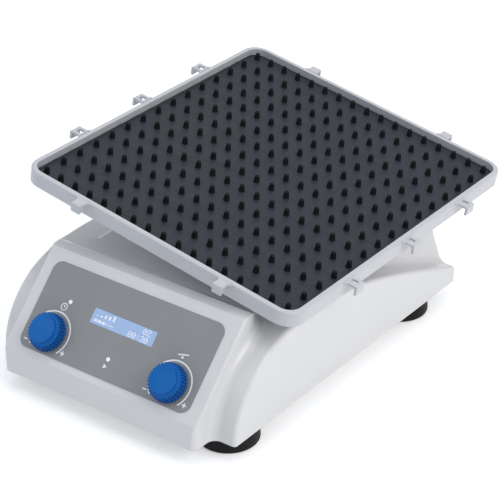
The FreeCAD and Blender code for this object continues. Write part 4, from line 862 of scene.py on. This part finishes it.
# %% Dot tree
def make_dot_field():
    tree, given, result = geometry_tree("dot_field", [
        ("Points", "NodeSocketGeometry"), ("Side", "NodeSocketFloat"), ("Depth", "NodeSocketFloat"),
        ("Finish", "NodeSocketMaterial")])
    dot = tree.nodes.new("GeometryNodeMeshCube")
    size = tree.nodes.new("ShaderNodeCombineXYZ")
    for socket, label in (("X", "Side"), ("Y", "Side"), ("Z", "Depth")):
        tree.links.new(given.outputs[label], size.inputs[socket])
    tree.links.new(size.outputs["Vector"], dot.inputs["Size"])
    planted = tree.nodes.new("GeometryNodeInstanceOnPoints")
    tree.links.new(given.outputs["Points"], planted.inputs["Points"])
    tree.links.new(dot.outputs["Mesh"], planted.inputs["Instance"])
    ends_in(tree, planted.outputs["Instances"], given, result)
    return tree


DOT_FIELD = make_dot_field()
print(DOT_FIELD.name, "has", socket_names(DOT_FIELD))

# %% Signs in dots
SIGN_DOTS = {
    "0": ("01110", "10001", "10011", "10101", "11001", "10001", "01110"),
    "2": ("01110", "10001", "00001", "00110", "01000", "10000", "11111"),
    "3": ("01110", "10001", "00001", "00110", "00001", "10001", "01110"),
    ":": ("00000", "00100", "00100", "00000", "00100", "00100", "00000"),
    "=": ("00000", "00000", "11111", "11111", "11111", "00000", "00000"),
    "_": ("00000", "00000", "00000", "11111", "00000", "00000", "00000"),
}
SIGN_ROWS, SIGN_COLUMNS = 7, 6
RISING_BARS = {"a": 1, "b": 2, "c": 4, "d": 5, "e": 7}
for sign, height in RISING_BARS.items():
    SIGN_DOTS[sign] = ("00000",) * (SIGN_ROWS - height) + ("01110",) * height
print("signs:", "".join(SIGN_DOTS))

# %% Display digits
DOT_PITCH, DOT_SIDE, DOT_DEPTH = 0.66, 0.56, 0.06
UPPER_LINE, LOWER_LINE = 11.2, 5.3
BARS_LEFT, SPEED_LEFT, TIME_LEFT = -27.6, 18.6, 6.7


def dot_points(text, left, top):
    points = []
    for place, sign in enumerate(text):
        for row, line in enumerate(SIGN_DOTS[sign]):
            for column, on in enumerate(line):
                if on == "1":
                    across = left + (place * SIGN_COLUMNS + column) * DOT_PITCH
                    points.append(metres(across, top - row * DOT_PITCH, 0))
    return points


lit_points = dot_points("abcde", BARS_LEFT, UPPER_LINE) + dot_points("02", SPEED_LEFT, UPPER_LINE)
lit_points += dot_points("===__", BARS_LEFT, LOWER_LINE) + dot_points("00:30", TIME_LEFT, LOWER_LINE)
points_mesh = bpy.data.meshes.new("lit_points")
points_mesh.from_pydata(lit_points, [], [])
digits_mesh = grown(DOT_FIELD, {
    "Side": DOT_SIDE * MM, "Depth": DOT_DEPTH * MM, "Finish": digit_white}, points_mesh)
dressed(finished("display_digits", digits_mesh, PANEL, digit_white), "base", "display")

# %% [markdown]
# The switch's signs
#
# The power switch at the back has a ring for off on its upper half and a bar for on below. At
# rest the upper half is pressed flush, and the lower half stands out at the full swing. The
# signs could be cut into the rocker, but print is what such switches have, so they are thin
# marks as on the console. They ride on the rocker and tip with it.

# %% Switch signs
SWITCH_SWING = swing("power_rock")
VALLEY_DEPTH = 2.0
SIGN_REACH = 4.2
OFF_RADIUS, OFF_LINE, OFF_STEPS = 1.7, 0.6, 28
ON_LENGTH, ON_WIDTH = 3.6, 0.7


def switch_plane(lean, up_slope):
    # The middle of one half of the rocker, up_slope millimetres from its valley.
    out = Vector((0, math.cos(lean), math.sin(lean)))
    up = Vector((0, -math.sin(lean), math.cos(lean)))
    half_swing = SWITCH_SWING / 2
    valley = Vector((0, math.cos(half_swing), math.sin(half_swing))) * VALLEY_DEPTH * MM
    middle = Vector(joints["power_rock"]["pos_m"]) + valley + up * up_slope * MM
    return face_plane(middle, up.cross(out), up, out)


off_sign = bmesh.new()
arc_mark(off_sign, (0, 0), OFF_RADIUS, OFF_LINE, 0, FULL_TURN, OFF_STEPS)
off_piece = finished("switch_off_sign", as_mesh("switch_off_sign", off_sign),
                     switch_plane(0.0, SIGN_REACH), print_white)
dressed(off_piece, "power_switch", "black_plastic")
on_sign = bmesh.new()
bar_mark(on_sign, (0, 0), ON_LENGTH, ON_WIDTH, math.pi / 2)
on_piece = finished("switch_on_sign", as_mesh("switch_on_sign", on_sign),
                    switch_plane(SWITCH_SWING, -SIGN_REACH), print_white)
dressed(on_piece, "power_switch", "black_plastic")

# %% [markdown]
# The floor
#
# A pale floor takes the shadow, and away from the object it is as white as the background. More
# light would whiten it too, but it would bleach the object. The floor glows faintly by itself.
# Beyond that it is lifted only for rays that the camera or a reflection sends, a little near the
# object and fully a good way off.

# %% Floor
FLOOR_HALF_SIDE = 6.0
FLOOR_GLOW, FLOOR_LIFT = 0.12, 0.25
FADE_FROM, FADE_TO = 0.5, 2.2
WHITE = (1.0, 1.0, 1.0)


def seen_directly(tree):
    # 1 for rays that come from the camera, a reflection or a clear body.
    path = tree.nodes.new("ShaderNodeLightPath").outputs
    either = math_node(tree, "MAXIMUM", path["Is Camera Ray"], path["Is Glossy Ray"])
    return math_node(tree, "MAXIMUM", either, path["Is Transmission Ray"])


def lift_floor(material):
    tree = material.node_tree
    from_middle = tree.nodes.new("ShaderNodeVectorMath")
    from_middle.operation = "LENGTH"
    place = tree.nodes.new("ShaderNodeTexCoord").outputs["Object"]
    tree.links.new(place, from_middle.inputs[0])
    fade = spread(tree, from_middle.outputs["Value"], FADE_FROM, FADE_TO)
    lift = math_node(tree, "MAXIMUM", fade, FLOOR_LIFT)
    seen_lift = math_node(tree, "MULTIPLY", seen_directly(tree), lift)
    shader = tree.nodes["Principled BSDF"]
    glow = math_node(tree, "ADD", seen_lift, FLOOR_GLOW)
    tree.links.new(glow, shader.inputs["Emission Strength"])


floor_white = lit(
    finish("floor_white", light=(0.93, 0.93, 0.93), dark=(0.92, 0.92, 0.925), gloss=(0.85, 0.9),
           grain_scale=300.0, grain_depth=0.01, mottle_scale=3.0, dust=0.0),
    colour=WHITE, strength=FLOOR_GLOW)
lift_floor(floor_white)
floor_mesh = bmesh.new()
bmesh.ops.create_grid(floor_mesh, x_segments=1, y_segments=1, size=FLOOR_HALF_SIDE)
finished("floor", as_mesh("floor", floor_mesh), Matrix.Identity(4), floor_white)
print("floor of", 2 * FLOOR_HALF_SIDE, "metres a side")

# %% [markdown]
# Lamps and world
#
# One large lamp with a slightly warm light stands to the right of the object, a wide one hangs
# over its back, and a weaker, cooler one fills the left front. A ready-made picture of a studio
# could light it too, but three soft lamps are easier to balance. The world is white for the
# camera and for reflections, and a cool grey light for everything else.

# %% Lamps and world
LAMPS = {
    "key_lamp": {"place": (1.42, -0.06, 1.00), "size": 1.0, "power": 11.8, "colour": (1.0, 0.975, 0.94)},
    "top_lamp": {"place": (-0.1, 0.45, 1.6), "size": 1.6, "power": 8.8, "colour": (1.0, 0.995, 0.985)},
    "fill_lamp": {"place": (-1.1, -1.0, 0.95), "size": 1.2, "power": 4.0, "colour": (0.88, 0.94, 1.0)},
}
LAMP_TARGET = Vector((0, 0, 0.08))
ROOM_LIGHT = (0.405, 0.432, 0.482)

for name, values in LAMPS.items():
    lamp_data = bpy.data.lights.new(name, "AREA")
    lamp_data.size = values["size"]
    lamp_data.energy = values["power"]
    lamp_data.color = values["colour"]
    lamp = bpy.data.objects.new(name, lamp_data)
    lamp.location = values["place"]
    aim = LAMP_TARGET - Vector(values["place"])
    lamp.rotation_euler = aim.to_track_quat("-Z", "Y").to_euler()
    scene.collection.objects.link(lamp)

scene.world = bpy.data.worlds.new("studio")
scene.world.use_nodes = True
sky = scene.world.node_tree
sky_colour = mix_colour(sky, seen_directly(sky), ROOM_LIGHT, WHITE)
sky.links.new(sky_colour, sky.nodes["Background"].inputs["Color"])
scene.view_settings.view_transform = "Standard"
print("lamps:", list(LAMPS))
